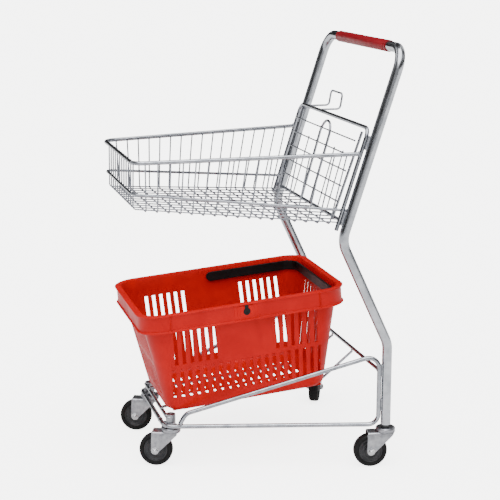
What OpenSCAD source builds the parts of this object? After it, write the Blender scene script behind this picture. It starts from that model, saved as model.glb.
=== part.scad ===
// Self-service shopping cart: a bent tube frame on four swivel casters, with a
// shallow welded wire basket on top and a lift-off hand basket on a sloping rack.
// +X points forward, +Y to the left, +Z up. The origin is on the floor, midway
// between the handle's back and the front of the wire basket's rim.

/* [Frame tube] */
// Outside diameter of the bent frame tube
tube_d = 22; // [18:0.5:26]
// Wall of the frame tube
tube_wall = 1.5; // [1:0.1:2.5]
// Distance between the two posts, centre to centre
post_gap = 494; // [440:1:560]
// Height of the posts' lower ends
post_foot_z = 95; // [94:1:97]
// Height of the lower bend, where the post starts to lean forward
ankle_z = 286; // [270:1:310]
// How far the knee stands in front of the posts' feet
knee_x = 110; // [80:1:130]
// Height of the knee
knee_z = 523; // [500:1:540]
// Distance from the posts' feet back to the handle
handle_back = 23; // [0:1:50]
// Height of the handle's centre line
handle_z = 933; // [900:1:1100]
// Bend radius of the ankles and knees
tube_bend = 60; // [45:1:80]
// Bend radius of the handle's corners
handle_bend = 45; // [35:1:60]
// Wall of the grip sleeve
grip_wall = 2; // [1:0.25:6]
// Length of the grip sleeve
grip_len = 322; // [200:1:380]

/* [Base and rack] */
// Diameter of the base rods
base_rod_d = 10; // [8:0.5:12]
// Height of the base rods' centre line
base_z = 98; // [97.5:0.5:102]
// Front cross rod's distance in front of the posts' feet
base_front_x = 482; // [440:1:520]
// Distance between the base's front corners, before rounding
base_front_w = 268; // [240:1:330]
// Height of the rack's side rods at the posts
rack_rear_z = 262; // [240:1:270]
// Bend radius at the rear corners of the side loops
loop_bend = 24; // [18:1:30]
// Bend radius at the base's front corners
corner_bend = 26; // [20:1:34]
// Diameter of the upper front rod and the rack's rear rod
cross_rod_d = 8; // [6:0.5:10]
// Diameter of the two rods that carry the hand basket
rack_floor_d = 6; // [5:0.5:8]
// Distance between those two rods
rack_floor_gap = 140; // [100:1:180]

/* [Wire basket] */
// Diameter of the rim rod and of the rear frame rod
rim_d = 9; // [7:0.5:10]
// Rim front, in front of the posts' feet
rim_front_x = 551; // [520:1:580]
// Rim height at the front
rim_front_z = 701; // [690:1:720]
// Rim height at the rear
rim_rear_z = 711; // [700:1:725]
// Rim width at the front, before rounding
rim_front_w = 352; // [330:1:380]
// Floor height at the front
floor_front_z = 598; // [590:1:610]
// Floor height at the rear
floor_rear_z = 559; // [552:1:566]
// Floor width at the front
floor_front_w = 304; // [290:1:320]
// Floor width at the rear
floor_rear_w = 454; // [440:1:462]
// Diameter of the basket's wires
wire_d = 3.2; // [2.5:0.1:4]
// Number of wires that run down the sides and across the floor
cross_wires = 17; // [12:1:20]
// Number of wires that run along the floor and up the front
long_wires = 12; // [8:2:14]
// Diameter of the middle rod round the basket
mid_rod_d = 6; // [5:0.5:7]
// Height of the rear frame rod's top, which is the flap's hinge bar
hinge_z = 765; // [750:1:780]

/* [Bag hook] */
// Diameter of the bag hook's wire
hook_wire_d = 5; // [4:0.5:6]
// Distance of the hook's near leg from the middle of the hinge bar
hook_near = 108; // [95:1:120]
// Distance of the hook's far leg from the middle of the hinge bar
hook_far = 190; // [170:1:196]
// How far the hook reaches back behind the hinge bar
hook_reach = 55; // [30:1:65]
// Height of the hook's upright end
hook_rise = 36; // [26:1:44]
// How far the upright end leans back
hook_lean = 6; // [0:1:10]
// Bend radius of the hook
hook_bend = 10; // [7:1:12]

/* [Flap] */
// Diameter of the flap's side rods and centre loop
flap_rod_d = 6; // [5:0.5:7]
// Lean of the closed flap from plumb, in degrees
flap_lean = 16; // [14:0.5:17]
// Width of the flap at its hooks, centre to centre
flap_top_w = 416; // [380:1:420]
// Width of the flap at its lower edge, centre to centre
flap_low_w = 390; // [360:1:396]
// Diameter of the flap's cross wires
flap_wire_d = 3.5; // [3:0.1:4]
// Number of the flap's cross wires
flap_wires_n = 5; // [4:1:6]
// Width of the centre loop, centre to centre
flap_loop_w = 64; // [50:1:80]

/* [Casters] */
// Wheel diameter over the tyre
wheel_d = 76; // [74:0.5:76]
// Tyre width
wheel_w = 24; // [20:0.5:26]
// Hub diameter under the tyre
hub_d = 54; // [48:0.5:58]
// Horizontal distance from the swivel axis to the axle
trail = 34; // [30:0.5:36]
// Thickness of the fork's pressed steel
fork_t = 2.5; // [2:0.1:3]
// Diameter of the swivel raceway
race_d = 44; // [42:0.5:48]
// Diameter of the caster's stem
stem_d = 12; // [10:0.5:13]
// Diameter of the axle bolt
axle_d = 8; // [6:0.5:8]

/* [Hand basket] */
// Length of the hand basket over its lip
hb_l = 478; // [450:1:490]
// Width of the hand basket over its lip
hb_w = 356; // [310:1:372]
// Depth of the hand basket
hb_h = 240; // [230:1:245]
// Length of its floor
hb_floor_l = 372; // [350:1:380]
// Width of its floor
hb_floor_w = 258; // [240:1:262]
// Wall thickness of the moulding
hb_wall = 2.6; // [2:0.1:3]
// Depth of the skirt round the lip
hb_skirt = 41; // [34:1:46]
// Tilt of the stored hand basket, front end lower, in degrees
hb_tilt = 5; // [4:0.5:6]
// Height of the lip's centre when stored
hb_z = 382; // [378:1:390]
// Distance from the posts' feet to the lip's centre
hb_x = 305; // [300:1:310]
// Thickness of the bail
bail_t = 5; // [4:0.5:6]
// Depth of the bail's flat bar
bail_h = 22; // [16:1:24]

// Width of the slots in the walls
slot_w = 8; // [6:0.5:10]
// Depth of the upper row of slots below the lip
slot_a = 45; // [43:1:50]
// Length of the upper slots
slot_a_len = 81; // [70:1:82]
// Depth of the lower row of slots below the lip
slot_b = 136; // [132:1:140]
// Length of the lower slots
slot_b_len = 70; // [60:1:76]
// Width of the slots in the floor
floor_slot_w = 7; // [5:0.5:14]
// Length of the slots in the floor
floor_slot_len = 26; // [16:1:34]

/* [Hidden] */
$fn = 64;

// Gaps: welded pieces stand a hair apart, turning pieces a little more
weld_gap = 0.05;
fit_gap = 0.05;
rest_gap = 0.4;
// Elbows are this much fatter than their rods, and rods run this far into them
seam = 0.08;
lap = 0.8;

half_gap = post_gap / 2;
tube_r = tube_d / 2;
grip_d = tube_d + 2 * grip_wall;
bore_r = tube_r - tube_wall;
base_r = base_rod_d / 2;
cross_r = cross_rod_d / 2;
rim_r = rim_d / 2;
wire_r = wire_d / 2;
mid_r = mid_rod_d / 2;
flap_r = flap_rod_d / 2;
rack_r = rack_floor_d / 2;

// The whole part is moved back by this, so that the origin is mid-length
x_mid = (rim_front_x + rim_r - handle_back - grip_d / 2) / 2;

// Post line from knee to handle: u runs up it, n stands forward of it
post_run = [-handle_back - knee_x, 0, handle_z - knee_z];
post_u = post_run / norm(post_run);
post_n = [post_u.z, 0, -post_u.x];
weld_space = 1.5;
leg_offset = tube_r + rim_r + weld_space;
loop_x = tube_r + base_r + weld_space;
leg_start = [knee_x, 0, knee_z] + leg_offset * post_n;
function leg_at(z) = leg_start + post_u * (z - leg_start.z) / post_u.z;
leg_y = half_gap - 10;
leg_foot = leg_at(floor_rear_z - 13);
hinge_at = leg_at(hinge_z);
leg_bend = 20;

// Wire basket's rim, floor and middle rod, on the left side
rim_rear = [leg_at(rim_rear_z).x, leg_y, rim_rear_z];
rim_front = [rim_front_x, rim_front_w / 2, rim_front_z];
rim_bend = 28;
wall_inset = rim_r + wire_r + weld_gap;
floor_rear = [leg_at(floor_rear_z).x - 10, floor_rear_w / 2, floor_rear_z];
floor_front = [rim_front_x - wall_inset, floor_front_w / 2, floor_front_z];
mid_rise_rear = 0.19;
mid_rise_front = 0.34;
bow = 1.6;

function mix(a, b, t) = a + (b - a) * t;
function mirrored(p) = [p.x, -p.y, p.z];
function unit(v) = v / norm(v);
// Side wire number i: its top under the rim and its foot at the floor's edge
function wire_t(i) = (i + 1) / (cross_wires + 1);
function wire_top(i) = mix(rim_rear, rim_front, wire_t(i)) - [0, wall_inset, -1];
function wire_foot(i) = mix(floor_rear, floor_front, wire_t(i)) - [0, 0, wire_d + weld_gap];
// Length wire number j: side position from -1 to 1
function long_t(j) = 2 * j / (long_wires - 1) - 1;
edge_inset = 8;
mid_rear = mix(floor_rear, rim_rear - [0, wall_inset, 0], mid_rise_rear)
    + [0, wire_r + mid_r + bow, 0];
front_foot_x = floor_front.x + wire_d + 0.1 - wire_r;
mid_front = mix([front_foot_x, floor_front.y, floor_front.z],
    [floor_front.x, rim_front.y - wall_inset, rim_front_z], mid_rise_front)
    + [wire_r + mid_r + 8 * weld_gap, wire_r + mid_r + bow, 0];

// Side loops lie in upright planes that converge towards the front
loop_rear = [loop_x, half_gap, 0];
loop_front = [base_front_x, base_front_w / 2, 0];
function loop_at(x, z) = mix(loop_rear, loop_front, (x - loop_rear.x) / (loop_front.x - loop_rear.x))
    + [0, 0, z];
rack_turn_x = base_front_x - 46;
rack_end_x = base_front_x - 33;
rack_turn_z = base_z + 30;
join_y = base_front_w / 2 - 50;

// Casters: the front pair stands inside the base's corners
socket_r = 11;
socket_top = 122;
front_axis = [base_front_x - base_r - socket_r - 1, base_front_w / 2 - socket_r - base_r, 0];
rear_axis = [0, half_gap, 0];
// How each caster trails at rest, in degrees clockwise from straight ahead
CASTERS = [["front_left", front_axis, 22], ["front_right", mirrored(front_axis), 22],
    ["rear_left", rear_axis, 10], ["rear_right", mirrored(rear_axis), -65]];
wheel_r = wheel_d / 2;
wheel_clear = 4;
plate_z = wheel_d + wheel_clear;
plate_top = plate_z + fork_t;
cup_low = plate_top + 0.5;
cup_roof = plate_top + 5.5;
cup_top = cup_roof + 3.5;
ball_r = (cup_roof - plate_top) / 2 - fit_gap;
ball_ring = race_d / 2 - 7;
balls_n = 14;
king_r = 5;
fork_gap = wheel_w + 4;
boss_r = 9;
sleeve_wall = 1.5;
sleeve_r = axle_d / 2 + fit_gap + sleeve_wall;

// Hand basket, in its own frame: the lip's top is at z = 0
hb_corner = 42;
body_l = hb_l - 24;
body_w = hb_w - 24;
pivot_z = -19;
hb_foot = 14;
bail_side_gap = 1.6;
bail_end_gap = 4.4;
pin_r = 5;
knob_r = 9;
rack_line_z = -hb_h - rest_gap - rack_r;
function from_hb(p) = [hb_x + p.x * cos(hb_tilt) + p.z * sin(hb_tilt), p.y,
    hb_z - p.x * sin(hb_tilt) + p.z * cos(hb_tilt)];
upper_x = base_front_x - 8;
rack_front = from_hb([(upper_x - hb_x) + 22, 0, rack_line_z]);
upper_z = from_hb([(upper_x - hb_x + hb_h * sin(hb_tilt)) / cos(hb_tilt), 0, rack_line_z]).z
    - rack_r - cross_r - 2 * weld_gap;
rack_rod_drop = 37;
rack_rear_rod_z = rack_rear_z - rack_rod_drop;

// Flap, in its own frame: hinge bar along Y at the origin, flap hanging down
hook_r = rim_r + flap_r + 0.08;
flap_low = -(hinge_z - floor_rear_z - wire_r - 1) / cos(flap_lean);
flap_first = 34;
flap_pitch = (-flap_low - flap_first - 41) / (flap_wires_n - 1);
function flap_y(z) = mix(flap_top_w, flap_low_w, z / flap_low) / 2;
rear_edge_r = 4;
flap_face = hook_r + flap_r + flap_wire_d / 2 + weld_gap;
thin_r = 1.5;

// ---- helpers ----
module placed() { translate([-x_mid, 0, 0]) children(); }

module bar(a, b, r) {
    v = b - a;
    translate(a) rotate([0, acos(v.z / norm(v)), atan2(v.y, v.x)]) cylinder(h = norm(v), r = r);
}

function turn_at(p, i) = acos(unit(p[i] - p[i - 1]) * unit(p[i + 1] - p[i]));
function trim_at(p, i, bend) = i == 0 || i == len(p) - 1 ? 0 : bend[i - 1] * tan(turn_at(p, i) / 2) - lap;

// Rod along corner points p, with a bend radius for each inner corner
module bent(p, bend, r) {
    for (i = [0:len(p) - 2]) {
        d = unit(p[i + 1] - p[i]);
        bar(p[i] + d * trim_at(p, i, bend), p[i + 1] - d * trim_at(p, i + 1, bend), r);
    }
    for (i = [1:len(p) - 2]) {
        d1 = unit(p[i] - p[i - 1]);
        d2 = unit(p[i + 1] - p[i]);
        n = unit(d2 - d1 * (d1 * d2));
        c = p[i] - d1 * bend[i - 1] * tan(turn_at(p, i) / 2) + n * bend[i - 1];
        z = cross(-n, d1);
        multmatrix([[-n.x, d1.x, z.x, c.x], [-n.y, d1.y, z.y, c.y], [-n.z, d1.z, z.z, c.z], [0, 0, 0, 1]])
            rotate_extrude(angle = turn_at(p, i)) translate([bend[i - 1], 0]) circle(r = r + seam);
    }
}

module both_sides() {
    children();
    mirror([0, 1, 0]) children();
}

// ---- frame ----
module tube_path(r, more = 0) {
    foot = [0, half_gap, post_foot_z - more];
    ankle = [0, half_gap, ankle_z];
    knee = [knee_x, half_gap, knee_z];
    top = [-handle_back, half_gap, handle_z];
    bent([foot, ankle, knee, top, mirrored(top), mirrored(knee), mirrored(ankle), mirrored(foot)],
        [tube_bend, tube_bend, handle_bend, handle_bend, tube_bend, tube_bend], r);
}

module main_tube() {
    color("silver") placed() difference() {
        tube_path(tube_r);
        tube_path(bore_r, 1);
    }
}

module handle_grip() {
    color("crimson") placed() translate([-handle_back, grip_len / 2, handle_z]) rotate([90, 0, 0])
        difference() {
            cylinder(h = grip_len, d = grip_d);
            translate([0, 0, -1]) cylinder(h = grip_len + 2, r = tube_r + weld_gap);
        }
}

// ---- base and rack ----
module side_loop() {
    bent([[base_front_x, join_y, base_z], loop_at(base_front_x, base_z), loop_at(loop_x, base_z),
          loop_at(loop_x, rack_rear_z), loop_at(rack_turn_x, rack_turn_z),
          loop_at(rack_end_x, base_z + base_r + 1)],
        [corner_bend, loop_bend, loop_bend, 26], base_r);
    // weld bead where the rack rod lands on the base rod
    translate(loop_at(rack_end_x, base_z + base_r + 1)) sphere(r = base_r + 1);
}

module side_loop_left() { color("silver") placed() side_loop(); }
module side_loop_right() { color("silver") placed() mirror([0, 1, 0]) side_loop(); }

module front_lower_rod() {
    color("silver") placed()
        bar([base_front_x, -join_y + weld_gap, base_z], [base_front_x, join_y - weld_gap, base_z], base_r);
}

module front_upper_rod() {
    color("silver") placed() difference() {
        bar([upper_x, -front_axis.y, upper_z], [upper_x, front_axis.y, upper_z], cross_r);
        both_sides() translate([front_axis.x, front_axis.y, upper_z - 20])
            cylinder(h = 40, r = socket_r + weld_gap);
    }
}

// Upright sleeve for a front caster's stem, with a web out to the base rods
module front_socket() {
    difference() {
        union() {
            translate([front_axis.x, front_axis.y, base_z - base_r + 0.5])
                cylinder(h = socket_top - base_z + base_r - 0.5, r = socket_r);
            translate([front_axis.x, front_axis.y, base_z - 3]) cube([17, 10, 6]);
        }
        translate([front_axis.x, front_axis.y, 0]) cylinder(h = 200, r = stem_d / 2 + fit_gap);
        bent([[base_front_x, join_y - 20, base_z], loop_at(base_front_x, base_z), loop_at(loop_x, base_z)],
            [corner_bend], base_r + weld_gap);
    }
}

module front_socket_left() { color("gainsboro") placed() front_socket(); }
module front_socket_right() { color("gainsboro") placed() mirror([0, 1, 0]) front_socket(); }

// Bush that fills the post's end round the rear caster's stem
module post_bush() {
    translate([rear_axis.x, rear_axis.y, 0]) difference() {
        union() {
            translate([0, 0, post_foot_z]) cylinder(h = 32, r = bore_r - fit_gap);
            translate([0, 0, cup_top + 0.5]) cylinder(h = post_foot_z - cup_top - 0.5 - weld_gap, r = tube_r);
            translate([0, 0, post_foot_z - 1]) cylinder(h = 2, r = bore_r - fit_gap);
        }
        cylinder(h = 400, r = stem_d / 2 + fit_gap);
    }
}

module post_bush_left() { color("dimgray") placed() post_bush(); }
module post_bush_right() { color("dimgray") placed() mirror([0, 1, 0]) post_bush(); }

// Filler between a post and the rod in front of it, along direction u
module weld_filler(a, b, tube_line, rod_line, r_rod) {
    difference() {
        bar(a, b, 4);
        bar(tube_line[0], tube_line[1], tube_r + weld_gap);
        bar(rod_line[0], rod_line[1], r_rod + weld_gap);
    }
}

module loop_welds() {
    post = [[0, half_gap, 0], [0, half_gap, 400]];
    rod = [[loop_x, half_gap, 0], [loop_x, half_gap, 400]];
    mid_x = tube_r + weld_space / 2;
    color("gainsboro") placed() both_sides() for (z = [base_z + 34, rack_rear_z - 50])
        weld_filler([mid_x, half_gap, z], [mid_x, half_gap, z + 20], post, rod, base_r);
}

module rack_rear_rod() {
    color("silver") placed() difference() {
        bar([loop_x, -half_gap, rack_rear_rod_z], [loop_x, half_gap, rack_rear_rod_z], cross_r);
        both_sides() translate([loop_x, half_gap, 0]) cylinder(h = 400, r = base_r + weld_gap);
    }
}

module rack_floor_rods() {
    strut_top = [loop_x, rack_floor_gap / 2, rack_rear_rod_z - cross_r - rack_r - weld_gap];
    turn = from_hb([-hb_floor_l / 2 - 6, rack_floor_gap / 2, rack_line_z]);
    color("silver") placed() both_sides()
        bent([strut_top, turn, [rack_front.x, rack_floor_gap / 2, rack_front.z]], [22], rack_r);
}

// ---- wire basket ----
module leg_side(r) {
    bar([leg_foot.x, leg_y, leg_foot.z], [hinge_at.x, leg_y, hinge_z], r);
}

module rear_basket_rod() {
    foot = [leg_foot.x, leg_y, leg_foot.z];
    top = [hinge_at.x, leg_y, hinge_z];
    color("silver") placed() bent([foot, top, mirrored(top), mirrored(foot)], [leg_bend, leg_bend], rim_r);
}

module basket_welds() {
    y = [0, half_gap - 5, 0];
    post = [[knee_x, half_gap, knee_z], [-handle_back, half_gap, handle_z]];
    leg = [[leg_foot.x, leg_y, leg_foot.z], [hinge_at.x, leg_y, hinge_z]];
    color("gainsboro") placed() both_sides() for (z = [floor_rear_z + 8, rim_rear_z + 16]) {
        a = leg_at(z) - post_n * (rim_r + weld_space / 2) + y;
        weld_filler(a, a + 20 * post_u, post, leg, rim_r);
    }
}

module basket_rim() {
    color("silver") placed() difference() {
        bent([rim_rear, rim_front, mirrored(rim_front), mirrored(rim_rear)], [rim_bend, rim_bend], rim_r);
        both_sides() leg_side(rim_r + weld_gap);
    }
}

module basket_mid_rod() {
    color("silver") placed() difference() {
        bent([mid_rear - [12, 0, 0], mid_front, mirrored(mid_front), mirrored(mid_rear - [12, 0, 0])],
            [rim_bend - 3, rim_bend - 3], mid_r);
        both_sides() leg_side(rim_r + weld_gap);
        both_sides() translate([leg_foot.x - 60, leg_y - 12, mid_rear.z - 15]) cube([42, 24, 30]);
    }
}

module side_wires() {
    for (i = [0:cross_wires - 1]) {
        bar(wire_foot(i) + [0, 0, wire_r], wire_top(i), wire_r);
    }
}

module side_wires_left() { color("lightsteelblue") placed() side_wires(); }
module side_wires_right() { color("lightsteelblue") placed() mirror([0, 1, 0]) side_wires(); }

module floor_wires() {
    color("lightsteelblue") placed() {
        for (i = [0:cross_wires - 1]) {
            bar(wire_foot(i) - [0, wire_r + 0.3, 0], mirrored(wire_foot(i)) + [0, wire_r + 0.3, 0], wire_r);
        }
        for (j = [0:long_wires - 1]) {
            bar([floor_rear.x - 6, long_t(j) * (floor_rear.y - edge_inset), floor_rear.z],
                [floor_front.x, long_t(j) * (floor_front.y - edge_inset), floor_front.z], wire_r);
        }
    }
}

module front_wires() {
    color("lightsteelblue") placed() for (j = [0:long_wires - 1]) {
        bar([front_foot_x, long_t(j) * (floor_front.y - edge_inset), floor_front.z],
            [floor_front.x, long_t(j) * (rim_front.y - rim_bend), rim_front.z + 1], wire_r);
    }
}

module basket_rear_edge() {
    drop = [sin(flap_lean), 0, -cos(flap_lean)];
    out = [cos(flap_lean), 0, sin(flap_lean)];
    z = floor_rear_z + wire_r + rear_edge_r + 1;
    line = hinge_at + out * (hook_r - flap_r - rear_edge_r - rest_gap);
    p = line + drop * (line.z - z) / cos(flap_lean);
    color("silver") placed() bar([p.x, -leg_y + rim_r + 1, z], [p.x, leg_y - rim_r - 1, z], rear_edge_r);
}

module bag_hook() {
    r = hook_wire_d / 2;
    y1 = -hook_near;
    y2 = -hook_far;
    near = hinge_at.x - rim_r - weld_gap;
    back = hinge_at.x - hook_reach;
    top = [back - hook_lean, 0, hinge_z + hook_rise];
    color("silver") placed() difference() {
        bent([[near + 3, y1, hinge_z], [back, y1, hinge_z], [top.x, y1, top.z], [top.x, y2, top.z],
              [back, y2, hinge_z], [near + 3, y2, hinge_z]], [hook_bend, hook_bend, hook_bend, hook_bend], r);
        bar([hinge_at.x, y2 - 20, hinge_z], [hinge_at.x, y1 + 20, hinge_z], rim_r + weld_gap);
    }
}

// ---- flap ----
module hung() { placed() translate(hinge_at) rotate([0, -flap_lean, 0]) children(); }

module flap_side_rods() {
    hook_sweep = 232;
    stub = 8;
    side = [hook_r, flap_top_w / 2, 0];
    color("silver") hung() both_sides() {
        bar(side, [hook_r, flap_low_w / 2, flap_low], flap_r);
        translate([0, flap_top_w / 2, 0]) rotate([90, 0, 0]) {
            rotate_extrude(angle = hook_sweep) translate([hook_r, 0]) circle(r = flap_r);
            rotate([0, 0, hook_sweep]) translate([hook_r, -lap, 0]) rotate([-90, 0, 0])
                cylinder(h = stub + lap, r = flap_r - seam);
        }
        translate(side) sphere(r = flap_r + seam);
    }
}

module flap_centre_loop() {
    w = flap_loop_w / 2;
    top = -15;
    color("silver") hung() translate([hook_r, 0, 0])
        bent([[0, w, flap_low + 8], [0, w, top], [0, -w, top], [0, -w, flap_low + 8]],
            [w - 0.5, w - 0.5], flap_r);
}

module flap_cross_wires() {
    color("lightsteelblue") hung() for (k = [0:flap_wires_n - 1]) {
        z = -flap_first - k * flap_pitch;
        y = flap_y(z) + flap_r;
        bar([flap_face, -y, z], [flap_face, y, z], flap_wire_d / 2);
    }
}

module flap_thin_wires() {
    x = flap_face - flap_wire_d / 2 - thin_r - weld_gap;
    color("lightsteelblue") hung() both_sides() for (y = [92, 150]) {
        bar([x, y, -flap_first - flap_pitch + 4], [x, y, flap_low + 8], thin_r);
    }
}

// ---- casters ----
module at_caster(i) {
    placed() translate(CASTERS[i][1]) rotate([0, 0, -CASTERS[i][2]]) children();
}

// Stem with its raceway cup and the kingpin that holds the fork
module stem(i) {
    stem_top = i < 2 ? socket_top - 1 : post_foot_z + 30;
    color("gainsboro") placed() translate(CASTERS[i][1]) {
        difference() {
            translate([0, 0, cup_low]) cylinder(h = cup_top - cup_low, d = race_d);
            translate([0, 0, cup_low - 1]) cylinder(h = cup_roof - cup_low + 1, d = race_d - 5);
        }
        translate([0, 0, cup_top - 1]) cylinder(h = stem_top - cup_top + 1, d = stem_d);
        translate([0, 0, plate_z - 1]) cylinder(h = cup_roof - plate_z + 2, r = king_r);
        translate([0, 0, plate_z - 3]) cylinder(h = 3 - fit_gap * 2, r = king_r + 3);
    }
}

// Pressed fork: a top plate and two tapering legs
module fork(i) {
    lead = trail + boss_r - 1;
    heel = race_d / 2 - 6;
    drop = plate_z - wheel_r;
    color("darkgray") at_caster(i) difference() {
        union() {
            translate([0, 0, plate_z]) cylinder(h = fork_t, d = race_d);
            translate([0, -fork_gap / 2 - fork_t, plate_z])
                cube([lead, fork_gap + 2 * fork_t, fork_t]);
            for (s = [-1, 1]) translate([0, s * (fork_gap + fork_t) / 2 + fork_t / 2, plate_z])
                rotate([90, 0, 0]) linear_extrude(fork_t) union() {
                    polygon([[-heel, 1], [lead, 1], [trail + boss_r * cos(8), -drop + boss_r * sin(8)],
                        [trail + boss_r * cos(128 + 80), -drop + boss_r * sin(128 + 80)],
                        [-heel + 4, -8]]);
                    translate([trail, -drop]) circle(r = boss_r);
                }
        }
        translate([0, 0, plate_z - 10]) cylinder(h = 20, r = king_r + fit_gap);
        translate([0, 0, plate_z - 30]) cylinder(h = 30, r = king_r + 3.5);
        translate([trail, 50, wheel_r]) rotate([90, 0, 0]) cylinder(h = 100, d = axle_d + 2 * fit_gap);
        translate([-50, -50, plate_top]) cube([150, 100, 20]);
    }
}

module balls(i) {
    color("silver") at_caster(i) for (k = [0:balls_n - 1])
        rotate([0, 0, k * 360 / balls_n]) translate([ball_ring, 0, (plate_top + cup_roof) / 2])
            sphere(r = ball_r);
}

// Axle bolt with its head, and the nut on the far side
module axle(i) {
    outer = fork_gap / 2 + fork_t + weld_gap;
    color("silver") at_caster(i) translate([trail, 0, wheel_r]) rotate([90, 0, 0]) {
        translate([0, 0, -outer - 6]) cylinder(h = 2 * outer + 12, d = axle_d);
        translate([0, 0, outer]) cylinder(h = 5, r = axle_d * 0.82, $fn = 6);
        difference() {
            translate([0, 0, -outer - 5]) cylinder(h = 5, r = axle_d * 0.82, $fn = 6);
            translate([0, 0, -outer - 6]) cylinder(h = 7, d = axle_d + 2 * fit_gap);
        }
    }
}

module sleeve(i) {
    color("silver") at_caster(i) translate([trail, 0, wheel_r]) rotate([90, 0, 0])
        translate([0, 0, -fork_gap / 2 + weld_gap]) difference() {
            cylinder(h = fork_gap - 2 * weld_gap, r = sleeve_r);
            translate([0, 0, -1]) cylinder(h = fork_gap + 2, d = axle_d + 2 * fit_gap);
        }
}

module hub(i) {
    rim_h = wheel_w / 2 - 2;
    hr = hub_d / 2;
    bore = sleeve_r + fit_gap;
    color("gray") at_caster(i) translate([trail, 0, wheel_r]) rotate([90, 0, 0]) rotate_extrude()
        polygon([[bore, -wheel_w / 2], [bore + 5, -wheel_w / 2], [bore + 7, -4], [hr - 8, -4], [hr - 5, -rim_h],
            [hr, -rim_h], [hr, rim_h], [hr - 5, rim_h], [hr - 8, 4], [bore + 7, 4], [bore + 5, wheel_w / 2],
            [bore, wheel_w / 2]]);
}

module tyre(i) {
    hr = hub_d / 2 + weld_gap;
    half = wheel_w / 2;
    toe = min(2, (wheel_r - hr) / 5);
    shoulder = min(4, (wheel_r - hr) / 2.5);
    color("#202020") at_caster(i) translate([trail, 0, wheel_r]) rotate([90, 0, 0]) rotate_extrude()
        polygon([[hr, -half + 2], [hr + toe, -half], [wheel_r - shoulder, -half], [wheel_r - shoulder / 4, -half + 3],
            [wheel_r, -half + 7], [wheel_r, half - 7], [wheel_r - shoulder / 4, half - 3], [wheel_r - shoulder, half],
            [hr + toe, half], [hr, half - 2]]);
}

module stem_front_left() { stem(0); }
module fork_front_left() { fork(0); }
module balls_front_left() { balls(0); }
module axle_front_left() { axle(0); }
module sleeve_front_left() { sleeve(0); }
module hub_front_left() { hub(0); }
module tyre_front_left() { tyre(0); }
module stem_front_right() { stem(1); }
module fork_front_right() { fork(1); }
module balls_front_right() { balls(1); }
module axle_front_right() { axle(1); }
module sleeve_front_right() { sleeve(1); }
module hub_front_right() { hub(1); }
module tyre_front_right() { tyre(1); }
module stem_rear_left() { stem(2); }
module fork_rear_left() { fork(2); }
module balls_rear_left() { balls(2); }
module axle_rear_left() { axle(2); }
module sleeve_rear_left() { sleeve(2); }
module hub_rear_left() { hub(2); }
module tyre_rear_left() { tyre(2); }
module stem_rear_right() { stem(3); }
module fork_rear_right() { fork(3); }
module balls_rear_right() { balls(3); }
module axle_rear_right() { axle(3); }
module sleeve_rear_right() { sleeve(3); }
module hub_rear_right() { hub(3); }
module tyre_rear_right() { tyre(3); }

// ---- hand basket ----
module stored() { placed() translate([hb_x, 0, hb_z]) rotate([0, hb_tilt, 0]) children(); }

module plan(l, w, r) {
    square([l - 2 * r, w], center = true);
    square([l, w - 2 * r], center = true);
    for (x = [-1, 1], y = [-1, 1]) translate([x * (l / 2 - r), y * (w / 2 - r)]) circle(r = r);
}

module slab(l, w, r, z, h = 0.5) { translate([0, 0, z]) linear_extrude(h) plan(l, w, r, $fn = 32); }

// Tapering tub; shrink takes the wall off for the inside
module tub(shrink, top, low) {
    hull() {
        slab(body_l - 2 * shrink, body_w - 2 * shrink, hb_corner - shrink, top - 0.5);
        slab(hb_floor_l + 6 - 2 * shrink, hb_floor_w + 4 - 2 * shrink, hb_corner - shrink, low + hb_foot);
        slab(hb_floor_l - 2 * hb_foot - 2 * shrink, hb_floor_w - 2 * hb_foot - 2 * shrink,
            hb_corner - hb_foot - shrink, low);
    }
}

module side_slots() {
    for (x = [72:18:162], s = [-1, 1])
        translate([s * x - slot_w / 2, -hb_w / 2, -slot_a - slot_a_len]) cube([slot_w, hb_w, slot_a_len]);
    for (k = [0:19])
        translate([(k - 9.5) * 17.8 - slot_w / 2, -hb_w / 2, -slot_b - slot_b_len]) cube([slot_w, hb_w, slot_b_len]);
}

module end_slots() {
    for (y = [-88:22:88]) {
        translate([-hb_l / 2, y - slot_w / 2, -slot_a - slot_a_len]) cube([hb_l, slot_w, slot_a_len]);
        translate([-hb_l / 2, y - slot_w / 2, -slot_b - slot_b_len]) cube([hb_l, slot_w, slot_b_len]);
    }
}

module floor_slots() {
    for (x = [-8:8], y = [-2:2])
        translate([x * 19 - floor_slot_w / 2, y * 40 - floor_slot_len / 2, -hb_h - 1])
            cube([floor_slot_w, floor_slot_len, 10]);
}

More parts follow.
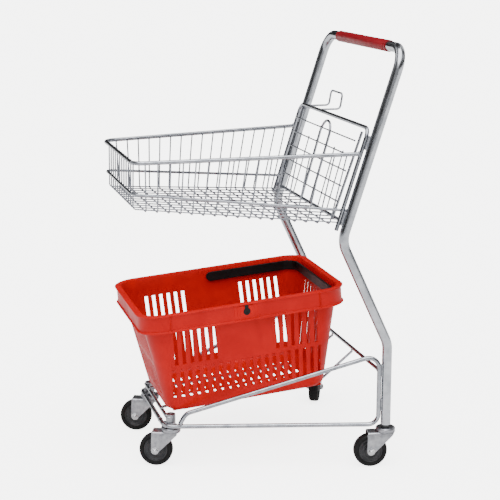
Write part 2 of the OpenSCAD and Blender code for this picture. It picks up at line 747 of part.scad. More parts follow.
module hand_basket() {
    color("red") stored() difference() {
        union() {
            difference() {
                union() {
                    tub(0, 0, -hb_h);
                    // lip, skirt and lower flange
                    difference() {
                        translate([0, 0, -4]) linear_extrude(4) plan(hb_l, hb_w, hb_corner + 12);
                        translate([0, 0, -5]) linear_extrude(6) plan(body_l - 8, body_w - 8, hb_corner - 4);
                    }
                    difference() {
                        translate([0, 0, -hb_skirt]) linear_extrude(hb_skirt - 1)
                            plan(hb_l - 8, hb_w - 8, hb_corner + 8);
                        translate([0, 0, -hb_skirt - 1]) linear_extrude(hb_skirt + 1)
                            plan(hb_l - 8 - 2 * hb_wall, hb_w - 8 - 2 * hb_wall, hb_corner + 8 - hb_wall);
                    }
                    difference() {
                        translate([0, 0, -hb_skirt]) linear_extrude(3) plan(hb_l - 1, hb_w - 3, hb_corner + 11);
                        translate([0, 0, -hb_skirt - 1]) linear_extrude(5)
                            plan(hb_l - 9 - 2 * hb_wall, hb_w - 9 - 2 * hb_wall, hb_corner + 7 - hb_wall);
                    }
                }
                tub(hb_wall, 4, -hb_h + hb_wall);
                difference() {
                    union() {
                        side_slots();
                        end_slots();
                    }
                    translate([0, 0, -hb_skirt]) linear_extrude(hb_skirt + 1) plan(hb_l + 20, hb_w + 20, 10);
                }
                floor_slots();
            }
            // ribs that tie the skirt to the tub
            both_sides() for (x = [-168, -26, 26, 168])
                translate([x - 1.2, body_w / 2 - 4, -hb_skirt]) cube([2.4, 14, hb_skirt - 2]);
            for (s = [-1, 1], y = [-70, 0, 70])
                translate([s * (body_l / 2 + 2) - 6, y - 1.2, -hb_skirt]) cube([12, 2.4, hb_skirt - 2]);
        }
        translate([0, hb_w, pivot_z]) rotate([90, 0, 0]) cylinder(h = 2 * hb_w, r = pin_r + fit_gap);
        // trims the ribs flush with the tub's inside
        tub(hb_wall, 4, -hb_h + hb_wall);
    }
}

// Inside of the tapering walls at a height z below the lip, from the middle outwards
function inner_half(top, low, z) = top / 2 + (top - low) / 2 * z / (hb_h - hb_foot) - hb_wall;

// Folded flat bar, lying towards the rear just under the lip, clear of the walls at its lower edge
bail_low = pivot_z - bail_h / 2;
bail_back = inner_half(body_l, hb_floor_l + 6, bail_low) - bail_end_gap;
bail_side = inner_half(body_w, hb_floor_w + 4, bail_low) - bail_side_gap;

module basket_bail() {
    r = hb_corner - 8;
    color("#181818") stored() {
        translate([0, 0, pivot_z - bail_h / 2]) linear_extrude(bail_h) difference() {
            union() {
                translate([-bail_back / 2, 0]) square([bail_back - 2 * r + 0.01, 2 * bail_side], center = true);
                translate([-bail_back / 2 + r / 2, 0]) square([bail_back - r, 2 * bail_side], center = true);
                translate([-bail_back / 2, 0]) square([bail_back, 2 * bail_side - 2 * r], center = true);
                for (s = [-1, 1]) translate([-bail_back + r, s * (bail_side - r)]) circle(r = r);
            }
            translate([-bail_back / 2 + bail_t + 50, 0])
                square([bail_back + 100, 2 * bail_side - 2 * r], center = true);
            translate([-bail_back + r + 100, 0]) square([200, 2 * (bail_side - bail_t)], center = true);
            translate([-bail_back / 2 + r / 2 + 10, 0])
                square([bail_back - r + 20.01, 2 * (bail_side - bail_t)], center = true);
            for (s = [-1, 1]) translate([-bail_back + r, s * (bail_side - r)]) circle(r = r - bail_t);
        }
        both_sides() translate([0, bail_side - bail_t, pivot_z]) rotate([-90, 0, 0])
            cylinder(h = bail_t, d = bail_h);
        both_sides() translate([0, bail_side - 1, pivot_z]) rotate([-90, 0, 0])
            cylinder(h = hb_w / 2 - bail_side + 1 - 3, r = pin_r);
    }
}

module bail_knobs() {
    color("#181818") stored() both_sides() translate([0, hb_w / 2 - 4 + rest_gap, pivot_z]) rotate([-90, 0, 0])
        difference() {
            cylinder(h = 4, r = knob_r);
            translate([0, 0, -1]) cylinder(h = 2 - rest_gap, r = pin_r + fit_gap);
        }
}

main_tube();
handle_grip();
side_loop_left();
side_loop_right();
front_lower_rod();
front_upper_rod();
front_socket_left();
front_socket_right();
post_bush_left();
post_bush_right();
loop_welds();
rack_rear_rod();
rack_floor_rods();
rear_basket_rod();
basket_welds();
basket_rim();
basket_mid_rod();
side_wires_left();
side_wires_right();
floor_wires();
front_wires();
basket_rear_edge();
bag_hook();
flap_side_rods();
flap_centre_loop();
flap_cross_wires();
flap_thin_wires();
stem_front_left();
fork_front_left();
balls_front_left();
axle_front_left();
sleeve_front_left();
hub_front_left();
tyre_front_left();
stem_front_right();
fork_front_right();
balls_front_right();
axle_front_right();
sleeve_front_right();
hub_front_right();
tyre_front_right();
stem_rear_left();
fork_rear_left();
balls_rear_left();
axle_rear_left();
sleeve_rear_left();
hub_rear_left();
tyre_rear_left();
stem_rear_right();
fork_rear_right();
balls_rear_right();
axle_rear_right();
sleeve_rear_right();
hub_rear_right();
tyre_rear_right();
hand_basket();
basket_bail();
bail_knobs();
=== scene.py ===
# %% [markdown]
# # A self-service shopping cart
#
# The cart is a bent tube frame on four casters, with a welded wire basket on top and a
# red hand basket on the rack below. The CAD model already holds every size and joint, so
# the script loads it first and builds each visible surface around it, in metres, in the
# same frame: +X forward, +Y to the left, +Z up.

# %% Load the CAD frame
import math

import bpy
import numpy as np
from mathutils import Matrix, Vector


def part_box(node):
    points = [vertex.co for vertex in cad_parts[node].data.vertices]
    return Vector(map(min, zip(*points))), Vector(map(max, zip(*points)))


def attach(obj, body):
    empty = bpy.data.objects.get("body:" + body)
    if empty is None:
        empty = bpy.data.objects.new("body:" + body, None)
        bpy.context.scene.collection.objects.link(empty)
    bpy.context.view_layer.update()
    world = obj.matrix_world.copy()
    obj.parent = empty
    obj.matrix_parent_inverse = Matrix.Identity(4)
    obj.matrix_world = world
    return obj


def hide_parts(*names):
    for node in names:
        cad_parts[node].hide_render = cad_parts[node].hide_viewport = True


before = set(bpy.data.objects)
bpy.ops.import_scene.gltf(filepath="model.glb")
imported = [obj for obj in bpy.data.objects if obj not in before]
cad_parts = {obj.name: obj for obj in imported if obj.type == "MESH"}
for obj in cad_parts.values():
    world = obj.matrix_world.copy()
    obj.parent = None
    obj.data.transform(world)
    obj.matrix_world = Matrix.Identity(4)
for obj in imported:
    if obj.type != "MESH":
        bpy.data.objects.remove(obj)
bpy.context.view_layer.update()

# %% [markdown]
# ## Camera
#
# The camera comes first, so that each piece can be judged as it is made. It stands well
# back with a long lens, as for a product picture: near and far wheels then come out
# almost the same size. Azimuth and elevation turn the view, and the lens sets the frame.

# %% Camera
CAMERA_PLACE = Vector((0.8134, 2.9643, 1.1598))
VIEW_AZIMUTH = math.radians(164.43)
VIEW_BELOW = math.radians(12.83)
LENS_MM = 98.3

ahead = Vector((-math.sin(VIEW_AZIMUTH) * math.cos(VIEW_BELOW),
                math.cos(VIEW_AZIMUTH) * math.cos(VIEW_BELOW), -math.sin(VIEW_BELOW)))
camera = bpy.data.objects.new("camera", bpy.data.cameras.new("camera"))
camera.location = CAMERA_PLACE
camera.rotation_euler = ahead.to_track_quat("-Z", "Y").to_euler()
camera.data.lens = LENS_MM
camera.data.clip_end = 200
bpy.context.scene.collection.objects.link(camera)
bpy.context.scene.camera = camera
print("camera looks along", [round(v, 3) for v in ahead])

# %% [markdown]
# ## Nodes and colours
#
# Every finish below is a small tree of nodes. One helper adds a node, sets its choices
# and fills its inputs, with a value or with a link from another node. Colours are written
# as hex, the way paint and plastic charts give them, and one function turns them into the
# linear numbers that Blender adds up light with.

# %% Node helper and colour function
MM = 0.001


def node(tree, kind, settings=None, inputs=None):
    """Adds a node. settings are its own choices, and inputs are sockets by name or
    number, each a plain value or a (node, output) pair to link."""
    made = tree.nodes.new(kind)
    for name, value in (settings or {}).items():
        setattr(made, name, value)
    for name, value in (inputs or {}).items():
        if isinstance(value, tuple) and isinstance(value[0], bpy.types.Node):
            tree.links.new(value[0].outputs[value[1]], made.inputs[name])
        else:
            made.inputs[name].default_value = value
    return made


def linear(hex_colour):
    """sRGB hex to linear light: c / 12.92 for dark values, ((c + 0.055) / 1.055) ^ 2.4
    for the rest."""
    c = np.array([int(hex_colour[k:k + 2], 16) / 255 for k in (0, 2, 4)])
    c = np.where(c <= 0.04045, c / 12.92, ((c + 0.055) / 1.055) ** 2.4)
    return (*c.tolist(), 1.0)


def per_metre(size_mm):
    """The scale of a pattern whose features are about size_mm across."""
    return 1 / (size_mm * MM)


# %% [markdown]
# ## Finishes in plated steel
#
# Bright zinc plate is what makes this cart shine. The steel is drawn first, which leaves
# faint lines along each rod, and then plated, which lays a thin skin with soft clouds and
# fine grain over them. Each swept piece keeps the place that its points had in the
# straight rod, as the attribute "straight", so the drawn lines can follow every bend. The
# real lines are about 0.05 mm apart, and here they are drawn coarser, so that they show.

# %% Zinc plate
def new_finish(name):
    """An empty node tree with its output, ready for a shader."""
    finish = bpy.data.materials.new(name)
    finish.use_nodes = True
    finish.node_tree.nodes.clear()
    return finish, finish.node_tree


def ramp(tree, source, low, high, out_low, out_high):
    """Stretches source from low..high to out_low..out_high."""
    return node(tree, "ShaderNodeMapRange", {}, {"Value": source, "From Min": low, "From Max": high,
                                                 "To Min": out_low, "To Max": out_high})


def blend_colour(tree, share, first, second):
    """Mixes two colours by a share from 0 to 1."""
    return node(tree, "ShaderNodeMix", {"data_type": "RGBA"}, {0: share, 6: first, 7: second})


def zinc_plate(name, bright, dull, rough, line_mm, cloud_mm, grain_bump):
    """Bright zinc over drawn steel. Clouds move the colour and the roughness, stretched
    noise draws the lines along the rod, and fine noise gives the plated grain."""
    finish, tree = new_finish(name)
    straight = node(tree, "ShaderNodeAttribute", {"attribute_name": "straight"})
    place = node(tree, "ShaderNodeTexCoord")
    clouds = node(tree, "ShaderNodeTexNoise", {}, {"Vector": (place, "Object"), "Scale": per_metre(cloud_mm),
                                                   "Detail": 5.0, "Roughness": 0.6})
    along = node(tree, "ShaderNodeMapping", {}, {"Vector": (straight, "Vector"), "Scale": (1.0, 1.0, 0.012)})
    lines = node(tree, "ShaderNodeTexNoise", {}, {"Vector": (along, 0), "Scale": per_metre(line_mm),
                                                  "Detail": 2.0})
    grain = node(tree, "ShaderNodeTexNoise", {}, {"Vector": (place, "Object"), "Scale": per_metre(0.9),
                                                  "Detail": 3.0})
    tone = ramp(tree, (clouds, 0), 0.36, 0.66, 0.0, 1.0)
    colour = blend_colour(tree, (tone, 0), linear(bright), linear(dull))
    cloud_rough = ramp(tree, (clouds, 0), 0.3, 0.7, rough[0], rough[1])
    line_rough = ramp(tree, (lines, 0), 0.3, 0.7, -0.03, 0.05)
    total = node(tree, "ShaderNodeMath", {"operation": "ADD"}, {0: (cloud_rough, 0), 1: (line_rough, 0)})
    relief = node(tree, "ShaderNodeMath", {"operation": "MULTIPLY_ADD"},
                  {0: (lines, 0), 1: 0.6, 2: (grain, 0)})
    bump = node(tree, "ShaderNodeBump", {},
                {"Height": (relief, 0), "Strength": grain_bump, "Distance": 0.0002})
    shader = node(tree, "ShaderNodeBsdfPrincipled", {}, {"Base Color": (colour, 2), "Metallic": 1.0,
                                                        "Roughness": (total, 0), "Normal": (bump, 0)})
    node(tree, "ShaderNodeOutputMaterial", {}, {"Surface": (shader, 0)})
    return finish


# thick tube: smooth, cold and mirror-like; rods a little duller; wires dullest, as they
# touch each other in the plating bath
TUBE_ZINC = zinc_plate("bright zinc plated tube", "B9BBC0", "9A9DA3", (0.13, 0.26), 1.1, 30, 0.10)
ROD_ZINC = zinc_plate("bright zinc plated rod", "A8AAB0", "85888F", (0.16, 0.30), 0.8, 18, 0.14)
WIRE_ZINC = zinc_plate("zinc plated drawn wire", "94969D", "6E7179", (0.20, 0.34), 0.6, 12, 0.16)
print("finishes so far", len(bpy.data.materials))

# %% [markdown]
# Pressed steel and weld beads are plated in a tumbling barrel, so they come out satin,
# with soft dents. Balls and bolts are hardened and rubbed bright. These pieces have no
# drawn lines, so their patterns read the place in the object instead.

# %% Pressed steel, weld and hardened steel
def tumbled_zinc(name, light, dark, rough, dent_mm, dent_bump):
    """Satin zinc from a barrel: cell noise for dents, clouds for colour and gloss."""
    finish, tree = new_finish(name)
    place = node(tree, "ShaderNodeTexCoord")
    dents = node(tree, "ShaderNodeTexVoronoi", {"feature": "SMOOTH_F1"},
                 {"Vector": (place, "Object"), "Scale": per_metre(dent_mm)})
    clouds = node(tree, "ShaderNodeTexNoise", {}, {"Vector": (place, "Object"), "Scale": per_metre(9),
                                                   "Detail": 6.0, "Roughness": 0.65})
    scuffs = node(tree, "ShaderNodeTexNoise", {}, {"Vector": (place, "Object"), "Scale": per_metre(2.2),
                                                   "Detail": 2.0, "Distortion": 1.5})
    tone = ramp(tree, (clouds, 0), 0.35, 0.68, 0.0, 1.0)
    colour = blend_colour(tree, (tone, 0), linear(light), linear(dark))
    cloud_rough = ramp(tree, (clouds, 0), 0.3, 0.7, rough[0], rough[1])
    rub = ramp(tree, (scuffs, 0), 0.55, 0.7, 0.0, 0.12)
    total = node(tree, "ShaderNodeMath", {"operation": "ADD"}, {0: (cloud_rough, 0), 1: (rub, 0)})
    bump = node(tree, "ShaderNodeBump", {}, {"Height": (dents, 0), "Strength": dent_bump, "Distance": 0.0004})
    shader = node(tree, "ShaderNodeBsdfPrincipled", {}, {"Base Color": (colour, 2), "Metallic": 1.0,
                                                        "Roughness": (total, 0), "Normal": (bump, 0)})
    node(tree, "ShaderNodeOutputMaterial", {}, {"Surface": (shader, 0)})
    return finish


FORK_ZINC = tumbled_zinc("barrel plated pressed steel", "A8A9AD", "85868C", (0.30, 0.44), 2.4, 0.22)
CUP_ZINC = tumbled_zinc("barrel plated raceway steel", "9FA0A5", "77787E", (0.24, 0.36), 2.0, 0.18)
WELD_ZINC = tumbled_zinc("plated weld bead", "9C9EA3", "74767D", (0.30, 0.48), 1.1, 0.55)
BOLT_ZINC = tumbled_zinc("hardened bright steel", "C9CACC", "A4A5A9", (0.16, 0.28), 1.6, 0.12)
print("finishes so far", len(bpy.data.materials))

# %% [markdown]
# ## Finishes in plastic and rubber
#
# Moulded plastic copies its mould: spark-eroded steel gives a fine even grain, and the
# melt leaves long, faint flow clouds. Polypropylene has a soft, waxy sheen, nylon is
# drier, and tyre rubber is rough, with slightly lighter scuffs. The grain is drawn at
# about 1 mm, a few times coarser than the real one, so that it shows.

# %% Moulded finishes
def moulded(name, main, shade, rough, grain_mm, grain_bump, flow_mm=60, *, worn, specular=0.5):
    """A moulded skin: flow clouds vary the colour and gloss, grain gives the bump, and
    worn is the colour of sparse scuffs."""
    finish, tree = new_finish(name)
    place = node(tree, "ShaderNodeTexCoord")
    flow = node(tree, "ShaderNodeTexNoise", {}, {"Vector": (place, "Object"), "Scale": per_metre(flow_mm),
                                                 "Detail": 4.0, "Distortion": 0.8})
    grain = node(tree, "ShaderNodeTexNoise", {}, {"Vector": (place, "Object"), "Scale": per_metre(grain_mm),
                                                  "Detail": 3.0, "Roughness": 0.7})
    marks = node(tree, "ShaderNodeTexNoise", {}, {"Vector": (place, "Object"), "Scale": per_metre(7),
                                                  "Detail": 8.0, "Roughness": 0.75, "Distortion": 2.0})
    tone = ramp(tree, (flow, 0), 0.35, 0.65, 0.0, 1.0)
    colour = blend_colour(tree, (tone, 0), linear(main), linear(shade))
    scuff = ramp(tree, (marks, 0), 0.66, 0.74, 0.0, 0.45)
    skin = blend_colour(tree, (scuff, 0), (colour, 2), linear(worn))
    flow_rough = ramp(tree, (flow, 0), 0.3, 0.7, rough[0], rough[1])
    rub = ramp(tree, (marks, 0), 0.6, 0.75, 0.0, 0.15)
    total = node(tree, "ShaderNodeMath", {"operation": "ADD"}, {0: (flow_rough, 0), 1: (rub, 0)})
    bump = node(tree, "ShaderNodeBump", {},
                {"Height": (grain, 0), "Strength": grain_bump, "Distance": 0.0003})
    shader = node(tree, "ShaderNodeBsdfPrincipled", {},
                  {"Base Color": (skin, 2), "Roughness": (total, 0), "Normal": (bump, 0), "IOR": 1.49,
                   "Specular IOR Level": specular})
    node(tree, "ShaderNodeOutputMaterial", {}, {"Surface": (shader, 0)})
    return finish


RED_PP = moulded("moulded red polypropylene", "BA0100", "AC0100", (0.40, 0.52), 1.0, 0.10,
                 worn="BC0E08", specular=0.15)
BLACK_PP = moulded("moulded black polypropylene", "0F0E0F", "0A090A", (0.36, 0.5), 0.9, 0.14,
                   worn="1C1A1B", specular=0.2)
GRIP_VINYL = moulded("extruded crimson vinyl", "840010", "76000E", (0.38, 0.50), 1.2, 0.08, 35,
                     worn="941424", specular=0.2)
HUB_NYLON = moulded("moulded grey nylon", "2A2A2D", "222225", (0.40, 0.55), 0.8, 0.15, 20, worn="4A4A4E")
BUSH_NYLON = moulded("moulded dark nylon", "2C2C2F", "222225", (0.42, 0.56), 0.8, 0.15, 15, worn="4C4C50")
TYRE_RUBBER = moulded("moulded black rubber", "100F10", "0B0A0B", (0.52, 0.70), 0.7, 0.30, 12,
                      worn="1E1C1A", specular=0.2)
print("finishes", [m.name for m in bpy.data.materials if m.name[0].islower()])

# %% [markdown]
# ## Surfaces from rings
#
# Almost everything here is a round or flat section that runs along a line. So there is
# one way to make a surface: rows of points, each a ring, joined by quads. A swept piece
# carries its section along a path, and a turned piece swings it about an axis. All sizes
# are in millimetres until a shape becomes a mesh.

# %% Rings, sweeps and turned shapes
def unit(v):
    """Vectors brought to length one."""
    v = np.asarray(v, float)
    return v / np.linalg.norm(v, axis=-1, keepdims=True)


def rings_to_shape(rings, straight, loop=False):
    """Rows of points (rows, columns, 3) joined by quads round each row and from row to
    row. loop joins the last row to the first, and without it both ends are closed."""
    rows, columns = rings.shape[:2]
    i = np.arange(rows if loop else rows - 1)[:, None]
    j = np.arange(columns)[None, :]
    down, right = (i + 1) % rows, (j + 1) % columns
    quads = np.stack([i * columns + j, i * columns + right, down * columns + right, down * columns + j], -1)
    faces = quads.reshape(-1, 4).tolist()
    if not loop:
        faces += [list(range(columns))[::-1], list(range((rows - 1) * columns, rows * columns))]
    return rings.reshape(-1, 3), faces, straight.reshape(-1, 3)


def route(corners, bends=(), steps=9):
    """Corner points joined by straight lines, each inner corner rounded by an arc:
    start + bend * (sin(a) * way in + (1 - cos(a)) * way to the arc's centre)."""
    corners = np.array(corners, float)
    parts = [corners[:1]]
    for before, corner, after, bend in zip(corners, corners[1:], corners[2:], bends):
        way_in, way_out = unit(corner - before), unit(after - corner)
        turn = np.arccos(np.clip(way_in @ way_out, -1, 1))
        inward = unit(way_out - way_in * (way_in @ way_out))
        a = np.linspace(0, turn, steps + 1)[:, None]
        start = corner - way_in * bend * np.tan(turn / 2)
        parts.append(start + bend * (np.sin(a) * way_in + (1 - np.cos(a)) * inward))
    return np.vstack(parts + [corners[-1:]])


def rounded(corners, bend, steps=4):
    """A closed outline with every corner rounded: it starts halfway along one side."""
    corners = np.array(corners, float)
    start = (corners[0] + corners[-1]) / 2
    return route([start, *corners, start], [bend] * len(corners), steps)[:-1]


def circle(r, sides=16):
    """Points (r cos a, r sin a) round a circle."""
    a = np.arange(sides) * 2 * np.pi / sides
    return r * np.stack([np.cos(a), np.sin(a)], -1)


def swept(path, section, side=(0.1, 1, 0.2)):
    """A section carried along a path: point = path + x * side + y * up. side is carried
    on without twist, by taking away its part along each new tangent, and up is tangent
    crossed with side. section is one outline, or one for each point of the path."""
    path = np.asarray(path, float)
    ways = unit(np.diff(path, axis=0))
    tangents = unit(np.vstack([ways[:1], ways[:-1] + ways[1:], ways[-1:]]))
    sides = [np.asarray(side, float)]
    for tangent in tangents:
        sides.append(unit(sides[-1] - tangent * (tangent @ sides[-1])))
    sides = np.array(sides[1:])
    ups = np.cross(tangents, sides)
    section = np.broadcast_to(section, (len(path), *np.shape(section)[-2:]))
    rings = path[:, None] + section[..., :1] * sides[:, None] + section[..., 1:] * ups[:, None]
    along = np.r_[0, np.cumsum(np.linalg.norm(np.diff(path, axis=0), axis=1))]
    straight = np.dstack([section, np.broadcast_to(along[:, None], section.shape[:2])])
    return rings_to_shape(rings, straight)


def rod(corners, bends=(), r=5.0, sides=16, steps=9):
    """A round rod along its corners, with each cut end chamfered by a quarter radius."""
    path = route(corners, bends, steps)
    ease = 0.25 * r
    first = path[0] + ease * unit(path[1] - path[0])
    last = path[-1] + ease * unit(path[-2] - path[-1])
    path = np.vstack([path[:1], first, path[1:-1], last, path[-1:]])
    size = np.ones(len(path))
    size[[0, -1]] = 0.75
    return swept(path, circle(r, sides) * size[:, None, None])


def turned(profile, centre, axis, sides=48, loop=False):
    """A profile of (radius, height) swung about an axis:
    point = centre + height * axis + radius * (across * cos(a) + over * sin(a))."""
    axis = unit(axis)
    across = unit(np.cross(axis, (1, 0, 0) if abs(axis[2]) > 0.9 else (0, 0, 1)))
    over = np.cross(axis, across)
    a = np.arange(sides) * 2 * np.pi / sides
    spokes = np.cos(a)[:, None] * across + np.sin(a)[:, None] * over
    profile = np.asarray(profile, float)
    radius, height = profile[:, 0, None, None], profile[:, 1, None, None]
    rings = np.asarray(centre, float) + height * axis + radius * spokes
    flat = np.stack([np.cos(a), np.sin(a), 0 * a], -1)
    straight = radius * flat + height * np.array([0, 0, 1])
    return rings_to_shape(rings, straight, loop)


def mirrored(shape):
    """The same shape on the cart's other side: y turns to -y, and each face is read the
    other way round so that it still points outwards."""
    points, faces, straight = shape
    return points * (1, -1, 1), [face[::-1] for face in faces], straight


def joined(shapes):
    """Several shapes as one."""
    points, faces, straight, past = [], [], [], 0
    for shape in shapes:
        points.append(shape[0])
        faces += [[k + past for k in face] for face in shape[1]]
        straight.append(shape[2])
        past += len(shape[0])
    return np.vstack(points), faces, np.vstack(straight)


# %% [markdown]
# A weld is a small lump of melted steel where two rods meet. The cart has hundreds, so
# each has only a few dozen faces: one round lump is worked out once, then stretched along
# three half-axes and copied to every place in a single array sum.

# %% Weld lumps
def lumps(places, along, over, up, rows=5, sides=8):
    """Copies of one round lump: point = place + x * along + y * over + z * up, where
    (x, y, z) lies on a ball. along, over and up hold one half-axis, or one per place."""
    places = np.atleast_2d(np.asarray(places, float))
    halves = [np.broadcast_to(np.asarray(h, float), places.shape) for h in (along, over, up)]
    a = np.linspace(np.pi * 0.9, np.pi * 0.1, rows)
    ball = turned(np.stack([np.sin(a), np.cos(a)], -1), (0, 0, 0), (0, 0, 1), sides)
    points = places[:, None] + sum(ball[0][None, :, k, None] * halves[k][:, None] for k in range(3))
    faces = [[k + n * len(ball[0]) for k in face] for n in range(len(places)) for face in ball[1]]
    return points.reshape(-1, 3), faces, points.reshape(-1, 3)


def piece(name, shape, body, finish, replaces=(), crease=38):
    """Makes a mesh in metres from a shape in millimetres, smooth except where it turns
    by more than crease degrees, and fixes it to its CAD body."""
    points, faces, straight = shape
    mesh = bpy.data.meshes.new(name)
    mesh.from_pydata((points * MM).tolist(), [], faces)
    kept = mesh.attributes.new("straight", "FLOAT_VECTOR", "POINT")
    kept.data.foreach_set("vector", (straight * MM).astype(np.float32).ravel())
    mesh.polygons.foreach_set("use_smooth", [True] * len(mesh.polygons))
    mesh.set_sharp_from_angle(angle=math.radians(crease))
    mesh.materials.append(finish)
    made = bpy.data.objects.new(name, mesh)
    bpy.context.scene.collection.objects.link(made)
    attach(made, body)
    if replaces:
        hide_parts(*replaces)
    print(f"{name}: {len(mesh.polygons)} faces on {body}")
    return made


# %% [markdown]
# ## Where things are
#
# The CAD boxes give the main places. The posts' feet set the zero for every length along
# the cart below, and each later step names the few sizes that it needs.

# %% Places from the frame
def middle(name):
    """The middle of a CAD node's box, in millimetres."""
    low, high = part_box(name)
    return (np.array(low) + np.array(high)) / 2 / MM


FEET_X, HALF_GAP = middle("post_bush_left")[:2]
FEET = np.array([FEET_X, 0, 0])


def mix(a, b, t):
    """The point a share t of the way from a to b."""
    return np.asarray(a, float) + (np.asarray(b, float) - np.asarray(a, float)) * t


def other_side(p):
    """A point's twin on the cart's other side."""
    return np.asarray(p, float) * (1, -1, 1)


def on_cart(shape):
    """Moves a shape measured from the posts' feet to its place in the row."""
    return shape[0] + FEET, shape[1], shape[2]


print("posts stand at x", round(FEET_X, 2), "and y", round(HALF_GAP, 2))

# %% [markdown]
# ## Frame tube and grip
#
# One 22 mm tube is bent into the whole frame: two posts lean forward at the ankles, back
# again at the knees, and turn over into the handle. A sweep is the natural way to make
# it. The grip is a vinyl sleeve pushed over the handle, so it is turned from a profile
# with a rolled lip and a fine groove at each end.

# %% Frame tube and grip
TUBE_R = 11.0
FOOT_Z, ANKLE_Z, KNEE_X, KNEE_Z, HANDLE_X, HANDLE_Z = 95.0, 286.0, 110.0, 523.0, -23.0, 933.0
TUBE_BENDS = (60, 60, 45, 45, 60, 60)
foot = np.array([0, HALF_GAP, FOOT_Z])
ankle = np.array([0, HALF_GAP, ANKLE_Z])
knee = np.array([KNEE_X, HALF_GAP, KNEE_Z])
corner = np.array([HANDLE_X, HALF_GAP, HANDLE_Z])
line = [foot, ankle, knee, corner]
tube_shape = rod(line + [other_side(p) for p in line[::-1]], TUBE_BENDS, TUBE_R, sides=40, steps=16)
piece("frame_tube", on_cart(tube_shape), "frame", TUBE_ZINC, ["main_tube"])

GRIP_HALF, GRIP_R, BORE_R = 161.0, 13.0, 11.05
end = [(GRIP_R - 0.5, GRIP_HALF), (GRIP_R, GRIP_HALF - 0.6), (GRIP_R, GRIP_HALF - 4.5),
       (GRIP_R - 0.45, GRIP_HALF - 5.2), (GRIP_R - 0.45, GRIP_HALF - 6.2), (GRIP_R, GRIP_HALF - 7)]
grip_profile = ([(BORE_R, -GRIP_HALF)] + [(r, -h) for r, h in end] + [(GRIP_R, 0)] + end[::-1]
                + [(BORE_R, GRIP_HALF)])
grip_shape = turned(grip_profile, (HANDLE_X, 0, HANDLE_Z), (0, 1, 0), 56, loop=True)
piece("grip_sleeve", on_cart(grip_shape), "frame", GRIP_VINYL, ["handle_grip"])

# %% [markdown]
# ## Base and rack rods
#
# Each side loop is one 10 mm rod. It starts at the front, rounds the base's corner, runs
# back to the post, turns up and comes forward again as the rack's sloping side, until it
# lands on itself in a weld. Thinner rods cross between the loops and carry the basket.

# %% Base and rack rods
BASE_R, CROSS_R, RACK_R = 5.0, 4.0, 3.0
BASE_Z, FRONT_X, FRONT_HALF = 98.0, 482.0, 134.0
LOOP_X = TUBE_R + BASE_R + 1.5
RACK_Z, RACK_ROD_Z = 262.0, 225.0
RACK_TURN, RACK_END = (FRONT_X - 46, BASE_Z + 30), (FRONT_X - 33, BASE_Z + BASE_R + 1)
JOIN_Y = FRONT_HALF - 50


def loop_at(x, z):
    """A point of the left loop's upright plane, which runs in towards the front."""
    y = HALF_GAP + (FRONT_HALF - HALF_GAP) * (x - LOOP_X) / (FRONT_X - LOOP_X)
    return np.array([x, y, z])


side_loop = rod([(FRONT_X, JOIN_Y, BASE_Z), loop_at(FRONT_X, BASE_Z), loop_at(LOOP_X, BASE_Z),
                 loop_at(LOOP_X, RACK_Z), loop_at(*RACK_TURN), loop_at(*RACK_END)],
                (26, 24, 24, 26), BASE_R, sides=20, steps=12)
piece("side_loop_near", on_cart(side_loop), "frame", ROD_ZINC, ["side_loop_left"])
piece("side_loop_far", on_cart(mirrored(side_loop)), "frame", ROD_ZINC,
      ["side_loop_right"])
lower_rod = rod([(FRONT_X, -JOIN_Y, BASE_Z), (FRONT_X, JOIN_Y, BASE_Z)], (), BASE_R, 20)
piece("front_lower_rod_round", on_cart(lower_rod), "frame", ROD_ZINC, ["front_lower_rod"])

# %% [markdown]
# The hand basket stands on two 6 mm rods that follow the slope of its floor. Its own
# tilted frame is needed for that, so it is worked out here: a point of the stored basket
# is turned by the tilt about the cart's Y axis and moved to the lip's centre.

# %% Rods under the hand basket
TILT = math.radians(5.0)
LIP_PLACE = np.array([305.0, 0.0, 382.0])
LIP_L, LIP_W, DEPTH = 478.0, 356.0, 240.0
FLOOR_L, FLOOR_W = 372.0, 258.0
REST_GAP = 0.4
FLOOR_ROD_Y = 70


def stored(points):
    """Points of the hand basket's own frame, with the lip's top at z = 0, on the cart."""
    x, y, z = np.moveaxis(np.asarray(points, float), -1, 0)
    turned_x = x * math.cos(TILT) + z * math.sin(TILT)
    turned_z = -x * math.sin(TILT) + z * math.cos(TILT)
    return np.stack([turned_x, y, turned_z], -1) + LIP_PLACE


UPPER_X = FRONT_X - 8
rod_z = -DEPTH - REST_GAP - RACK_R
front_local = (UPPER_X - LIP_PLACE[0] + DEPTH * math.sin(TILT)) / math.cos(TILT)
UPPER_Z = stored([front_local, 0, rod_z])[2] - RACK_R - CROSS_R
strut_top = np.array([LOOP_X, FLOOR_ROD_Y, RACK_ROD_Z - CROSS_R - RACK_R])
floor_rod = rod([strut_top, stored([-FLOOR_L / 2 - 6, FLOOR_ROD_Y, rod_z]),
                 stored([UPPER_X - LIP_PLACE[0] + 22, FLOOR_ROD_Y, rod_z])],
                (22,), RACK_R, sides=14)
piece("rack_floor_pair", on_cart(joined([floor_rod, mirrored(floor_rod)])), "frame", ROD_ZINC,
      ["rack_floor_rods"])
socket_place = np.append(middle("stem_front_left")[:2], 0) - FEET
upper_rod = rod([(UPPER_X, -socket_place[1], UPPER_Z), (UPPER_X, socket_place[1], UPPER_Z)], (), CROSS_R, 18)
rear_rod = rod([(LOOP_X, -HALF_GAP, RACK_ROD_Z), (LOOP_X, HALF_GAP, RACK_ROD_Z)], (), CROSS_R, 18)
piece("front_upper_rod_round", on_cart(upper_rod), "frame", ROD_ZINC, ["front_upper_rod"])
piece("rack_rear_rod_round", on_cart(rear_rod), "frame", ROD_ZINC, ["rack_rear_rod"])

